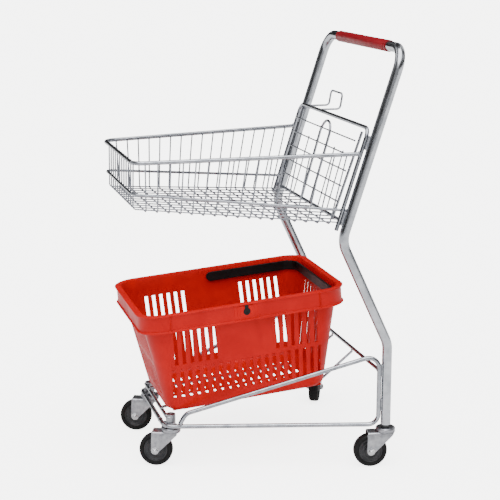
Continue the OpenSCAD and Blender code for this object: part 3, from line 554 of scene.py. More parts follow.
# %% [markdown]
# ## Wire basket
#
# Real basket wires are not cut at the basket's edge. Each cross wire comes down from the
# rim, rounds the edge, crosses the floor and climbs the other side, and each long wire
# runs along the floor and up the front. So each is one bent rod here, spaced evenly
# between the rim's two ends. The frame rods come first.

# %% Basket frame rods
RIM_R, MID_R, WIRE_R, EDGE_R = 4.5, 3.0, 1.6, 4.0
LEG_Y = HALF_GAP - 10
post_way = unit([HANDLE_X - KNEE_X, 0, HANDLE_Z - KNEE_Z])
post_front = np.array([post_way[2], 0, -post_way[0]])
LEG_OFFSET = TUBE_R + RIM_R + 1.5
leg_start = np.array([KNEE_X, 0, KNEE_Z]) + LEG_OFFSET * post_front


def leg_at(z, y=LEG_Y):
    """The point at height z of the frame rod that runs up beside a post."""
    return leg_start + post_way * (z - leg_start[2]) / post_way[2] + (0, y, 0)


FLOOR_Z, RIM_Z, HINGE_Z = 559.0, 711.0, 765.0
hinge = leg_at(HINGE_Z, 0)
leg_foot, leg_top = leg_at(FLOOR_Z - 13), leg_at(HINGE_Z)
rim_back, rim_front = leg_at(RIM_Z), np.array([551.0, 176.0, 701.0])
WALL = RIM_R + WIRE_R + 0.05
floor_back = leg_at(FLOOR_Z, 227) - (10, 0, 0)
floor_front = np.array([rim_front[0] - WALL, 152, 598.0])


def hoop(start, turn, bend, r, sides):
    """A rod that runs along the left side, across and back along the right side."""
    return rod([start, turn, other_side(turn), other_side(start)], (bend, bend), r, sides, 14)


piece("rear_frame_rod", on_cart(hoop(leg_foot, leg_top, 20, RIM_R, 20)), "frame", ROD_ZINC,
      ["rear_basket_rod"])
piece("rim_rod", on_cart(hoop(rim_back, rim_front, 28, RIM_R, 20)), "frame", ROD_ZINC,
      ["basket_rim"])
MID_BACK_SHARE, MID_FRONT_SHARE = 0.19, 0.34
mid_back = mix(floor_back, rim_back - (0, WALL, 0), MID_BACK_SHARE) + (0, WIRE_R + MID_R + 1.6, 0)
front_foot = floor_front + (WIRE_R + 0.1, 0, 0)
front_rim = [floor_front[0], rim_front[1] - WALL, rim_front[2]]
mid_front = mix(front_foot, front_rim, MID_FRONT_SHARE)
mid_front = mid_front + (WIRE_R + MID_R + 0.4, WIRE_R + MID_R + 1.6, 0)
piece("middle_rod", on_cart(hoop(mid_back - (8, 0, 0), mid_front, 25, MID_R, 16)), "frame", ROD_ZINC,
      ["basket_mid_rod"])
LEAN = math.radians(16.0)
HOOK_R = RIM_R + 3.0 + 0.08
edge_z = FLOOR_Z + WIRE_R + EDGE_R + 1
edge_line = hinge + np.array([math.cos(LEAN), 0, math.sin(LEAN)]) * (HOOK_R - 3.0 - EDGE_R - REST_GAP)
edge_x = edge_line[0] + math.tan(LEAN) * (edge_line[2] - edge_z)
edge_rod = rod([(edge_x, -LEG_Y, edge_z), (edge_x, LEG_Y, edge_z)], (), EDGE_R, 18)
piece("rear_edge_rod", on_cart(edge_rod), "frame", ROD_ZINC, ["basket_rear_edge"])

# %% Basket wires
CROSS_WIRES, LONG_WIRES = 17, 12
WIRE_BEND = 9.0
share = (np.arange(CROSS_WIRES) + 1) / (CROSS_WIRES + 1)
wire_tops = mix(rim_back, rim_front, share[:, None]) - (0, WALL, -1)
wire_feet = mix(floor_back, floor_front, share[:, None]) - (0, 0, 2 * WIRE_R + 0.05)
cross_wires = [rod([t, f, other_side(f), other_side(t)], (WIRE_BEND, WIRE_BEND), WIRE_R, 10, 7)
               for t, f in zip(wire_tops, wire_feet)]
piece("cross_wires", on_cart(joined(cross_wires)), "frame", WIRE_ZINC,
      ["side_wires_left", "side_wires_right"])
spread = np.linspace(-1, 1, LONG_WIRES)
wire_spread = floor_front[1] - 8
long_wires = [rod([(floor_back[0] - 6, s * (floor_back[1] - 8), floor_back[2]),
                   (front_foot[0], s * wire_spread, floor_front[2]),
                   (floor_front[0], s * (rim_front[1] - 28), rim_front[2] + 1)], (7,), WIRE_R, 10, 7)
              for s in spread]
piece("long_wires", on_cart(joined(long_wires)), "frame", WIRE_ZINC,
      ["floor_wires", "front_wires"])

# %% [markdown]
# Each crossing is a spot weld: the wires sink a little into each other and squeeze out a
# small shoulder of steel. The crossings follow from the wires' own lines, so nothing is
# placed by hand.

# %% Spot welds of the basket
NUGGET = 1.9


def across(share_along, s):
    """Where cross wire and long wire meet: the long wire's height at that share."""
    back = np.stack([floor_back[0] + 0 * s, s * (floor_back[1] - 8), floor_back[2] + 0 * s], -1)
    front = np.stack([floor_front[0] + 0 * s, s * wire_spread, floor_front[2] + 0 * s], -1)
    return mix(back, front, share_along)


floor_spots = np.vstack([across(t, spread) - (0, 0, WIRE_R) for t in share])
rim_spots = wire_tops + (0, 1.2, -1.5)
mid_share = mix(MID_BACK_SHARE, MID_FRONT_SHARE, share)[:, None]
mid_spots = mix(wire_feet + (0, 0, 3), wire_tops, mid_share) + (0, WIRE_R + 0.8, 0)
front_tops = np.stack([np.full_like(spread, floor_front[0] + 1.5), spread * (rim_front[1] - 28),
                       np.full_like(spread, rim_front[2] - 1)], -1)
front_mids = np.stack([front_foot[0] + WIRE_R + 0 * spread,
                       spread * mix(wire_spread, rim_front[1] - 28, MID_FRONT_SHARE),
                       mid_front[2] + 0 * spread], -1)
spots = joined([lumps(floor_spots, (NUGGET, 0, 0), (0, NUGGET, 0), (0, 0, 1.3)),
                lumps(np.vstack([rim_spots, other_side(rim_spots)]), (2.6, 0, 0), (0, 2.2, 0), (0, 0, 3.2)),
                lumps(np.vstack([mid_spots, other_side(mid_spots)]), (2.3, 0, 0), (0, 1.5, 0), (0, 0, 2.4)),
                lumps(front_tops, (2.2, 0, 0), (0, 2.6, 0), (0, 0, 3.2)),
                lumps(front_mids, (1.5, 0, 0), (0, 2.3, 0), (0, 0, 2.4))])
piece("basket_spot_welds", on_cart(spots), "frame", WELD_ZINC)

# %% [markdown]
# The tube and the thick rods are joined by hand with a torch, in short beads. Each bead
# is a row of overlapping lumps, which leaves the ripples of the real thing.

# %% Weld beads on the frame
def bead(start, stop, wide, high, over, count):
    """A row of lumps from start to stop, over pointing out of the joint."""
    start, stop, over = (np.asarray(v, float) for v in (start, stop, over))
    way = unit(stop - start)
    over = unit(over)
    length = np.linalg.norm(stop - start) / count
    places = mix(start, stop, np.linspace(0, 1, count)[:, None])
    return lumps(places, way * length * 1.15, np.cross(over, way) * wide, over * high, 7, 12)


def ring_bead(place, axis, r, thick, count=14):
    """Lumps in a circle round a rod that ends on another piece."""
    axis = unit(axis)
    first = unit(np.cross(axis, (0.2, 1, 0.3)))
    second = np.cross(axis, first)
    a = np.arange(count)[:, None] * 2 * np.pi / count
    out = np.cos(a) * first + np.sin(a) * second
    tangent = np.cross(axis, out)
    return lumps(place + out * r, out * thick, tangent * 1.4 * np.pi * r / count,
                 np.broadcast_to(axis, out.shape) * thick)


joints = []
for z in (BASE_Z + 36, RACK_Z - 48):
    x = TUBE_R + 0.8
    for y in (3.4, -3.4):
        joints.append(bead((x, HALF_GAP + y, z), (x, HALF_GAP + y, z + 20), 3.2, 2.6, (0, np.sign(y), 0), 6))
for z in (FLOOR_Z + 4, RIM_Z + 14):
    base = leg_at(z, HALF_GAP - 5) - post_front * (RIM_R + 0.8)
    for y in (3.2, -4.0):
        joints.append(bead(base + (0, y, 0), base + (0, y, 0) + 24 * post_way,
                           3.4, 2.6, (0, np.sign(y), 0), 7))
landing = loop_at(*RACK_END)
joints.append(ring_bead(landing - (0, 0, 1.2), (0.3, 0, 1), 5.2, 1.9))
joints.append(ring_bead(np.array([LOOP_X, HALF_GAP - BASE_R - 0.6, RACK_ROD_Z]), (0, 1, 0), 4.2, 1.6))
joints.append(ring_bead(leg_at(RIM_Z) + (4.0, -0.4, 0), (1, 0, 0), 4.6, 1.7))
joints.append(ring_bead(np.array([edge_x, LEG_Y - RIM_R - 0.4, edge_z]), (0, 1, 0), 4.1, 1.5))
joints.append(ring_bead(mid_back - (4, 0, 0), (1, 0, 0), 3.1, 1.3))
joints.append(ring_bead(np.array([FRONT_X, JOIN_Y, BASE_Z]), (0, 1, 0), 4.9, 1.2))
joints.append(lumps([(LOOP_X, FLOOR_ROD_Y, RACK_ROD_Z - CROSS_R)],
                    (3.6, 0, 0), (0, 4, 0), (0, 0, 2.4), 7, 12))
joints.append(lumps([(UPPER_X, FLOOR_ROD_Y, UPPER_Z + CROSS_R)],
                    (3.6, 0, 0), (0, 4, 0), (0, 0, 2.2), 7, 12))
beads = joined(joints + [mirrored(j) for j in joints])
piece("frame_weld_beads", on_cart(beads), "frame", WELD_ZINC,
      ["loop_welds", "basket_welds"])

# %% [markdown]
# ## Bag hook
#
# A single 5 mm wire is bent into a square hook and welded to the hinge bar, so shoppers
# can hang a bag from it.

# %% Bag hook
HOOK_WIRE_R, HOOK_NEAR, HOOK_FAR, HOOK_BEND = 2.5, -108.0, -190.0, 10.0
HOOK_REACH, HOOK_RISE, HOOK_LEAN = 55.0, 36.0, 6.0
hook_back = hinge[0] - HOOK_REACH
hook_top = (hook_back - HOOK_LEAN, HINGE_Z + HOOK_RISE)
hook_start = hinge[0] - RIM_R + 1
bag_hook = rod([(hook_start, HOOK_NEAR, HINGE_Z), (hook_back, HOOK_NEAR, HINGE_Z),
                (hook_top[0], HOOK_NEAR, hook_top[1]), (hook_top[0], HOOK_FAR, hook_top[1]),
                (hook_back, HOOK_FAR, HINGE_Z), (hook_start, HOOK_FAR, HINGE_Z)],
               [HOOK_BEND] * 4, HOOK_WIRE_R, 14)
hook_beads = [ring_bead(np.array([hook_start - 0.6, y, HINGE_Z]), (1, 0, 0), 2.7, 1.3, 10)
              for y in (HOOK_NEAR, HOOK_FAR)]
piece("bag_hook_wire", on_cart(joined([bag_hook, *hook_beads])), "frame", ROD_ZINC,
      ["bag_hook"])

# %% [markdown]
# ## Flap
#
# The basket's back hangs from the hinge bar on two hooks, so that carts can nest: the
# basket of the cart behind lifts it. It is drawn in its own plane first, hinge at zero
# and wires hanging down, then leaned forward to its rest on the rear edge rod.

# %% Flap
FLAP_R, FLAP_WIRE_R, THIN_R = 3.0, 1.75, 1.5
FLAP_TOP, FLAP_LOW_HALF = 208.0, 195.0
FLAP_LOW = -(HINGE_Z - FLOOR_Z - WIRE_R - 1) / math.cos(LEAN)
FIRST_WIRE, FLAP_WIRES = 34.0, 5
ARCH_HALF, THIN_PLACES = 32, (-150, -92, 92, 150)
flap_pitch = (-FLAP_LOW - FIRST_WIRE - 41) / (FLAP_WIRES - 1)


def hung(shape):
    """Leans the flap forward about the hinge bar: (x cos - z sin, y, x sin + z cos)."""
    x, y, z = shape[0].T
    leaned = np.stack([x * math.cos(LEAN) - z * math.sin(LEAN), y,
                       x * math.sin(LEAN) + z * math.cos(LEAN)], -1)
    return leaned + hinge + FEET, shape[1], shape[2]


sweep = np.radians(np.linspace(0, 232, 30))
over_bar = np.stack([HOOK_R * np.cos(sweep), FLAP_TOP + 0 * sweep, HOOK_R * np.sin(sweep)], -1)
stub_way = np.array([-math.sin(sweep[-1]), 0, math.cos(sweep[-1])])
side_path = np.vstack([[(HOOK_R, FLAP_LOW_HALF, FLAP_LOW)], over_bar, [over_bar[-1] + 8 * stub_way]])
side_rod = rod(side_path, (), FLAP_R, 16)
piece("flap_hooked_rods", hung(joined([side_rod, mirrored(side_rod)])), "flap", ROD_ZINC,
      ["flap_side_rods"])
arch = rod([(HOOK_R, ARCH_HALF, FLAP_LOW + 8), (HOOK_R, ARCH_HALF, -15),
            (HOOK_R, -ARCH_HALF, -15), (HOOK_R, -ARCH_HALF, FLAP_LOW + 8)],
           (31.5, 31.5), FLAP_R, 16, 14)
piece("flap_arch", hung(arch), "flap", ROD_ZINC, ["flap_centre_loop"])
heights = -FIRST_WIRE - flap_pitch * np.arange(FLAP_WIRES)
half_widths = FLAP_TOP + (FLAP_LOW_HALF - FLAP_TOP) * heights / FLAP_LOW + FLAP_R
FACE_X = HOOK_R + FLAP_R + FLAP_WIRE_R + 0.05
bars = [rod([(FACE_X, -w, z), (FACE_X, w, z)], (), FLAP_WIRE_R, 12) for z, w in zip(heights, half_widths)]
piece("flap_bars", hung(joined(bars)), "flap", WIRE_ZINC, ["flap_cross_wires"])
THIN_X = FACE_X - FLAP_WIRE_R - THIN_R
uprights = [rod([(THIN_X, y, heights[1] + 4), (THIN_X, y, FLAP_LOW + 8)], (), THIN_R, 10)
            for y in THIN_PLACES]
piece("flap_uprights", hung(joined(uprights)), "flap", WIRE_ZINC, ["flap_thin_wires"])
flap_spots = [(FACE_X - 1.2, s * (w - FLAP_R), z) for z, w in zip(heights, half_widths) for s in (-1, 1)]
flap_spots += [(FACE_X - 1.2, y, z) for z in heights for y in (-ARCH_HALF, ARCH_HALF)]
flap_spots += [(FACE_X - 1.5, y, z) for z in heights[1:] for y in THIN_PLACES]
piece("flap_spot_welds", hung(lumps(flap_spots, (1.6, 0, 0), (0, 2.6, 0), (0, 0, 2.4))), "flap", WELD_ZINC)

# %% [markdown]
# ## Casters
#
# Four casters roll the cart: a stem in a raceway cup, a ring of balls, a pressed fork that
# turns under the cup, and a rubber-tyred wheel on a bolt. Stems and forks turn about the
# upright axis, wheels about the bolt, so each of them is a piece of its own. Each
# caster's place and the way it trails are read from the CAD boxes of its stem and tyre.

# %% Caster sizes
WHEEL_R = 38.0
PLATE_Z, FORK_T, FORK_HALF = 80.0, 2.5, 15.25
RACE_R, BOSS_R = 22.0, 9.0
CUP_LOW, CUP_TOP = 83.0, 91.5
CASTERS = ("front_left", "front_right", "rear_left", "rear_right")


def caster_frame(name):
    """The swivel axis, the wheel's centre, and the way from one to the other."""
    stem_axis = middle("stem_" + name) * (1, 1, 0)
    wheel = middle("tyre_" + name)
    return stem_axis, wheel, unit((wheel - stem_axis) * (1, 1, 0))


# %% [markdown]
# The cup is turned sheet steel with a rolled top edge, and the stem above it goes into
# the socket or the post. The fork starts as a flat blank. Its outline narrows from the
# round top to the boss round the bolt, and the press folds both legs down at once. That
# makes it a grid too: one way runs down one leg, across the top and down the other, and
# the other way runs from its rear edge to its front edge.

# %% Cup, stem and fork
def cup_profile(stem_top):
    """Nut under the fork, kingpin, hollow cup with a rolled rim, then the stem."""
    roll = route([(RACE_R, CUP_LOW + 0.3), (RACE_R, CUP_TOP), (7, CUP_TOP)], (3.2,), 6).tolist()
    return [(0.6, 76.9), (6.8, 76.9), (8, 77.8), (8, 79.9), (5, 79.9), (5, 88), (19.4, 88),
            (19.4, CUP_LOW + 0.2), (20.2, CUP_LOW - 0.1), (21.4, CUP_LOW - 0.1), *roll,
            (6, CUP_TOP + 0.8), (6, stem_top - 1), (5, stem_top), (0.6, stem_top)]


def fork_shape(wheel, trail_way):
    """A folded sheet: point = fold(s) + x * trail, x from the rear to the front edge."""
    bend, drop, trail_mm = 3.6, PLATE_Z - WHEEL_R, 34.0
    down = np.r_[np.linspace(drop + BOSS_R - 0.12, drop + 2, 7), np.linspace(drop - 2, bend + 0.5, 6)]
    leg = np.stack([np.full(len(down), FORK_HALF), -down + FORK_T / 2], -1)
    fold = route([(FORK_HALF, -bend - 0.4), (FORK_HALF, FORK_T / 2), (4, FORK_T / 2)], (bend,), 6)
    half = np.vstack([leg, fold])
    line = np.vstack([half, half[::-1] * (-1, 1)])
    depth = np.maximum(FORK_T / 2 - line[:, 1], 0)
    low = np.sqrt(np.maximum(BOSS_R**2 - (depth - drop)**2, 0.05))
    rear_line = np.interp(depth, (0, 3, 8, drop + 4.2), (-17.5, -16.2, -13, trail_mm - 8))
    front_line = np.interp(depth, (0, 4, drop - 1.3), (41, 42, trail_mm + 8.9))
    rear = np.where(depth > drop + 4.2, trail_mm - low, rear_line)
    front = np.where(depth > drop - 1.3, trail_mm + low, front_line)
    rear = np.where(depth < 0.5, -np.sqrt(np.maximum(RACE_R**2 - line[:, 0]**2, 0)) * 0.97, rear)
    t = np.linspace(0, 1, 13)
    x = rear[:, None] + (front - rear)[:, None] * t
    side_way = np.cross((0, 0, 1), trail_way)
    axis = wheel * (1, 1, 0) - trail_mm * trail_way
    points = (axis + x[..., None] * trail_way + line[:, None, :1] * side_way
              + (PLATE_Z + line[:, None, 1:]) * np.array([0, 0, 1]))
    rows, columns = x.shape
    i, j = np.arange(rows - 1)[:, None], np.arange(columns - 1)
    quads = np.stack([i * columns + j, (i + 1) * columns + j, (i + 1) * columns + j + 1,
                      i * columns + j + 1], -1)
    return points.reshape(-1, 3), quads.reshape(-1, 4).tolist(), points.reshape(-1, 3)


def sheet_metal(made, thickness, edge):
    """Gives a bent sheet its thickness and softens its cut edges."""
    wall = made.modifiers.new("thickness", "SOLIDIFY")
    wall.thickness, wall.offset = thickness * MM, 0.0
    wall.use_quality_normals = True
    soft = made.modifiers.new("softened edges", "BEVEL")
    soft.width, soft.segments, soft.limit_method = edge * MM, 2, "ANGLE"
    soft.angle_limit = math.radians(40)


for name in CASTERS:
    stem_axis, wheel, trail_way = caster_frame(name)
    stem_top = 121.0 if name.startswith("front") else 125.0
    cup = turned(cup_profile(stem_top), stem_axis, (0, 0, 1), 56)
    piece("raceway_cup_" + name, cup, "frame", CUP_ZINC, ["stem_" + name])
    made = piece("folded_fork_" + name, fork_shape(wheel, trail_way), "caster_" + name, FORK_ZINC,
                 ["fork_" + name])
    sheet_metal(made, FORK_T, 0.6)
    dish_profile = rounded([(4.9, PLATE_Z + 1), (RACE_R, PLATE_Z + 1), (RACE_R, PLATE_Z + 2.5),
                            (4.9, PLATE_Z + 2.5)], 0.7)
    dish = turned(dish_profile, stem_axis, (0, 0, 1), 56, loop=True)
    piece("race_dish_" + name, dish, "caster_" + name, FORK_ZINC)
    for node_name in ("balls_", "sleeve_"):
        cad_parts[node_name + name].data.materials.clear()
        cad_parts[node_name + name].data.materials.append(BOLT_ZINC)

# %% [markdown]
# The wheel is three materials: a nylon hub with raised rings, a tyre pressed onto it, and
# a bolt with a washer, a hex head and a nut. The tyre's shoulders are round, its tread has
# a faint mould line, and its side has a groove. All are turned from profiles, and a hex is
# simply a turned shape with six sides.

# %% Hub, tyre and bolt
def two_sided(half):
    """A profile's upper half, and the same half upside down below it."""
    return [(r, -h) for r, h in half] + [(r, h) for r, h in half[::-1]]


TYRE_HALF = [(27.1, 9.6), (28.3, 11.4), (29.6, 11.9), (30.6, 11.3), (31.4, 11.3), (32.4, 11.9), (34.2, 11.7),
             (35.8, 10.7), (37.0, 8.9), (37.6, 6.6), (37.85, 3.6), (37.9, 0.5), (38.0, 0.3)]
HUB_HALF = [(27.0, 9.7), (25.4, 10.3), (24.6, 9.6), (24.2, 7.4), (21.6, 5.6), (19.4, 5.2), (18.6, 6.4),
            (17.4, 6.6), (16.6, 5.2), (13.6, 5.0), (12.2, 7.2), (11.4, 11.4), (10.4, 12.0),
            (6.2, 12.0), (5.7, 11.6)]


def hub_shape(wheel, axle):
    """The hub's closed profile, with eight low ribs in the dish between its rings."""
    upper = HUB_HALF[::-1]
    body = turned([(r, -h) for r, h in upper] + [(r, h) for r, h in HUB_HALF], wheel, axle, 64, loop=True)
    first = unit(np.cross(axle, (0, 0, 1)))
    second = np.cross(axle, first)
    a = np.arange(8)[:, None] * np.pi / 4
    out = np.cos(a) * first + np.sin(a) * second
    ribs = [lumps(wheel + out * 20.6 + side * axle * 5.2, out * 3.6, np.cross(side * axle, out) * 0.9,
                  np.broadcast_to(side * axle, out.shape) * 1.6, 5, 10) for side in (-1, 1)]
    return joined([body, *ribs])


def bolt_shape(wheel, axle):
    """Shank, hex head and nut with chamfered corners, a washer under each, domed ends."""
    reach = 14 + FORK_T + 0.05
    shank = turned([(0.5, -reach - 6), (2.6, -reach - 6), (3.7, -reach - 5), (4, -reach - 4), (4, reach + 4),
                    (3.7, reach + 5), (2.6, reach + 6), (0.5, reach + 6)], wheel, axle, 24)
    parts = [shank]
    for side in (-1, 1):
        way = side * axle
        washer = turned([(3.9, reach), (8.4, reach), (8.6, reach + 0.4), (8.4, reach + 1.1),
                         (3.9, reach + 1.1)], wheel, way, 32, loop=True)
        hexagon = turned([(3.9, reach + 1), (6.3, reach + 1), (6.6, reach + 1.5), (6.6, reach + 4.3),
                          (5.9, reach + 5), (3.9, reach + 5)], wheel, way, 6, loop=True)
        parts += [washer, hexagon]
    return joined(parts)


for name in CASTERS:
    stem_axis, wheel, trail_way = caster_frame(name)
    axle = np.cross((0, 0, 1), trail_way)
    tyre = turned([(27.1, -9.6)] + two_sided(TYRE_HALF)[1:-1] + [(27.1, 9.6)], wheel, axle, 88, loop=True)
    piece("round_tyre_" + name, tyre, "wheel_" + name, TYRE_RUBBER, ["tyre_" + name])
    piece("ringed_hub_" + name, hub_shape(wheel, axle), "wheel_" + name, HUB_NYLON,
          ["hub_" + name])
    piece("axle_bolt_" + name, bolt_shape(wheel, axle), "caster_" + name, BOLT_ZINC,
          ["axle_" + name], 30)

# %% [markdown]
# ## Sockets and post ends
#
# Each front caster's stem sits in a short steel sleeve, welded into the base's corner with
# a web. Each post's foot is closed by a dark nylon bush that holds the rear stem.

# %% Sockets and bushes
SOCKET_R, SOCKET_TOP = 11.0, 122.0


def socket_shape():
    """A turned sleeve with eased rims, joined by beads to both base rods."""
    low = BASE_Z - BASE_R + 0.5
    sleeve = turned(rounded([(6.05, low), (SOCKET_R, low), (SOCKET_R, SOCKET_TOP), (6.05, SOCKET_TOP)], 0.8),
                    socket_place, (0, 0, 1), 44, loop=True)
    to_front = np.array([FRONT_X - BASE_R, socket_place[1], BASE_Z])
    side = loop_at(socket_place[0], BASE_Z) - (0, BASE_R, 0)
    web = swept([socket_place + (6, 6, BASE_Z), socket_place + (17, 12, BASE_Z)], rounded(
        [(5, -3), (5, 3), (-5, 3), (-5, -3)], 1), (0, 1, 0))
    fillets = [bead(to_front + (0, -7, 3.2), to_front + (0, 7, 3.2), 3.0, 2.6, (-0.4, 0, 1), 6),
               bead(side + (-8, -1, 3.2), side + (7, -1, 3.2), 3.0, 2.6, (0, -0.4, 1), 6),
               lumps([socket_place + (4, 4, UPPER_Z)], (9, 0, 0), (0, 8, 0), (0, 0, 3), 7, 14)]
    return joined([sleeve, web, *fillets])


sleeve = socket_shape()
piece("stem_socket_near", on_cart(sleeve), "frame", FORK_ZINC, ["front_socket_left"])
piece("stem_socket_far", on_cart(mirrored(sleeve)), "frame", FORK_ZINC,
      ["front_socket_right"])
bush_profile = rounded([(6.05, CUP_TOP + 0.6), (TUBE_R, CUP_TOP + 0.6), (TUBE_R, FOOT_Z - 0.1),
                        (TUBE_R - 1.6, FOOT_Z - 0.1), (TUBE_R - 1.6, FOOT_Z + 31), (6.05, FOOT_Z + 31)], 0.5)
bush = turned(bush_profile, (0, HALF_GAP, 0), (0, 0, 1), 40, loop=True)
piece("post_end_near", on_cart(bush), "frame", BUSH_NYLON, ["post_bush_left"])
piece("post_end_far", on_cart(mirrored(bush)), "frame", BUSH_NYLON, ["post_bush_right"])

# %% [markdown]
# ## Hand basket
#
# The hand basket is one thin moulding, and its slots are real holes. A grid makes both
# easy: its columns run round the tub and its rows down the wall, and both are laid so
# that each slot is exactly one cell of the grid, which is then left out. Solidify turns
# the remaining skin into a wall, and Bevel rounds the edges as a mould does.

# %% Tub outline
TOP_L, TOP_W, CORNER = LIP_L - 24, LIP_W - 24, 42.0
FOOT_CURVE = 14.0
SLOT_W, UPPER_SLOT, LOWER_SLOT = 8.0, (-45.0, -126.0), (-136.0, -206.0)
long_upper = np.r_[-162:-71:18, 72:163:18].astype(float)
long_lower = (np.arange(20) - 9.5) * 17.8
short_slots = np.arange(-88, 89, 22.0)
LONG_END, SHORT_END = 175.0, 93.0


def cuts(*centres, end):
    """Column places: both edges of each slot, and the two ends of the side."""
    edges = [c + half for group in centres for c in group for half in (-SLOT_W / 2, SLOT_W / 2)]
    return np.unique(np.round(edges + [-end, end], 3))


long_cuts = cuts(long_upper, long_lower, end=LONG_END)
short_cuts = cuts(short_slots, end=SHORT_END)


def tub_ring(z):
    """The tub's outline at depth z: a rounded rectangle that narrows downwards, with its
    foot rolled in by a quarter circle. Columns keep their place along each side."""
    fall = np.clip(-z / (DEPTH - FOOT_CURVE), 0, 1)
    into = np.clip((-z - DEPTH + FOOT_CURVE) / FOOT_CURVE, 0, 1)
    roll = FOOT_CURVE * (1 - np.sqrt(1 - into**2))
    half_l = (TOP_L + (FLOOR_L + 6 - TOP_L) * fall) / 2 - roll
    half_w = (TOP_W + (FLOOR_W + 4 - TOP_W) * fall) / 2 - roll
    r = CORNER - roll * 0.6
    x = long_cuts[::-1]
    over = np.clip((np.abs(x) - (half_l - r)) / r, 0, 0.999)
    x_side = np.sign(x) * np.minimum(np.abs(x), half_l - r + over * r)
    y_side = half_w - r + r * np.sqrt(1 - over**2)
    first = math.asin(over[0])
    a = np.linspace(first, math.pi / 2, 9)[1:]
    turn = np.stack([-(half_l - r) - r * np.sin(a), half_w - r + r * np.cos(a)], -1)
    y = np.clip(short_cuts[::-1], -(half_w - r), half_w - r)[1:-1]
    end_side = np.stack([np.full(len(y), -half_l), y], -1)
    half = np.vstack([np.stack([x_side, y_side], -1), turn, end_side, turn[::-1] * (1, -1)])
    return np.column_stack([np.vstack([half, -half]), np.full(2 * len(half), z)])


# %% Tub wall and floor
foot_rows = -DEPTH + FOOT_CURVE - FOOT_CURVE * np.sin(np.linspace(0, np.pi / 2, 7))
rows = np.r_[-2, -22, UPPER_SLOT[0], -80, UPPER_SLOT[1], LOWER_SLOT[0], -162, LOWER_SLOT[1], foot_rows]
wall = np.array([tub_ring(z) for z in rows])


def skin(grid, hole):
    """A looped grid of points as a skin without the cells where hole is true."""
    n_columns = grid.shape[1]
    i, j = np.nonzero(~hole)
    right = (j + 1) % n_columns
    quads = np.stack([i * n_columns + j, i * n_columns + right, (i + 1) * n_columns + right,
                      (i + 1) * n_columns + j], -1)
    return grid.reshape(-1, 3), quads.tolist(), grid.reshape(-1, 3)


mids = (wall[:-1] + np.roll(wall[:-1], -1, 1)) / 2
depth_mid = (rows[:-1] + rows[1:]) / 2


def in_slot(places, centres):
    """True where a place lies within a slot's width of one of the centres."""
    return (np.abs(places[..., None] - centres) < SLOT_W / 2).any(-1)


on_long = np.abs(mids[..., 0]) < LONG_END - 1
on_long &= np.abs(mids[..., 1]) > SHORT_END + 4
on_short = ~on_long & (np.abs(mids[..., 1]) < SHORT_END)
upper = ((depth_mid < UPPER_SLOT[0]) & (depth_mid > UPPER_SLOT[1]))[:, None]
lower = ((depth_mid < LOWER_SLOT[0]) & (depth_mid > LOWER_SLOT[1]))[:, None]
hole = ((upper & on_long & in_slot(mids[..., 0], long_upper))
        | (lower & on_long & in_slot(mids[..., 0], long_lower)))
hole |= (upper | lower) & on_short & in_slot(mids[..., 1], short_slots)
tub_points, tub_faces, tub_straight = skin(wall[::-1], hole[::-1])
tub = (stored(tub_points) + FEET, tub_faces, tub_straight)
made = piece("tub_wall", tub, "hand_basket", RED_PP, ["hand_basket"])


def moulded_wall(made, thickness, edge, offset):
    """Thickness to one side of the skin, then softened edges."""
    wall = made.modifiers.new("wall", "SOLIDIFY")
    wall.thickness, wall.offset, wall.use_even_offset = thickness * MM, offset, True
    soft = made.modifiers.new("mould radius", "BEVEL")
    soft.width, soft.segments, soft.limit_method = edge * MM, 2, "ANGLE"
    soft.angle_limit = math.radians(50)


WALL_T = 2.6
moulded_wall(made, WALL_T, 0.5, -1.0)
print("slots cut", int(hole.sum()))

# %% [markdown]
# The floor is a sheet with a grid of openings, made the same way. The lip, the skirt and
# the flange under it are one section carried round the rim, so they are a closed sweep.

# %% Floor, lip and skirt
FLOOR_X, FLOOR_Y = (np.arange(17) - 8) * 19.0, (np.arange(5) - 2) * 40.0
SLIT_X, SLIT_Y = 3.5, 13.0
x_cuts = np.unique(np.r_[FLOOR_X - SLIT_X, FLOOR_X + SLIT_X, -FLOOR_L / 2 + 11, FLOOR_L / 2 - 11])
y_cuts = np.unique(np.r_[FLOOR_Y - SLIT_Y, FLOOR_Y + SLIT_Y, -FLOOR_W / 2 + 11, FLOOR_W / 2 - 11])
gx, gy = np.meshgrid(x_cuts, y_cuts)
floor_points = np.stack([gx, gy, np.full_like(gx, -DEPTH + 0.1)], -1)
cell_x, cell_y = (x_cuts[1:] + x_cuts[:-1]) / 2, (y_cuts[1:] + y_cuts[:-1]) / 2
opening = ((np.abs(cell_y[:, None, None] - FLOOR_Y) < SLIT_Y).any(-1)
           & (np.abs(cell_x[None, :, None] - FLOOR_X) < SLIT_X).any(-1))
i, j = np.nonzero(~opening)
n = len(x_cuts)
floor_quads = np.stack([i * n + j, (i + 1) * n + j, (i + 1) * n + j + 1, i * n + j + 1], -1).tolist()
floor_flat = floor_points.reshape(-1, 3)
made = piece("tub_floor", (stored(floor_flat) + FEET, floor_quads, floor_flat), "hand_basket", RED_PP)
moulded_wall(made, WALL_T, 0.5, -1.0)

rim_path = rounded([(LIP_L / 2, -LIP_W / 2), (LIP_L / 2, LIP_W / 2), (-LIP_L / 2, LIP_W / 2),
                    (-LIP_L / 2, -LIP_W / 2)], 54, 14)
SKIRT = 41.0
lip_section = [(-14.5, -3.2), (-7.4, -3.4), (-6.6, -4.6), (-6.6, -SKIRT + 0.4), (-6.2, -SKIRT),
               (-1.2, -SKIRT), (-0.5, -SKIRT + 0.7), (-0.5, -SKIRT + 2.3), (-1.2, -SKIRT + 3),
               (-3.3, -SKIRT + 3.4), (-4, -SKIRT + 4.2), (-4, -5.2), (-3.4, -4.4), (-1.1, -4),
               (-0.2, -3.2), (0, -2.2), (-0.2, -1), (-1.2, -0.2), (-2.4, 0), (-12.5, 0), (-14, -0.5),
               (-14.5, -1.4)]


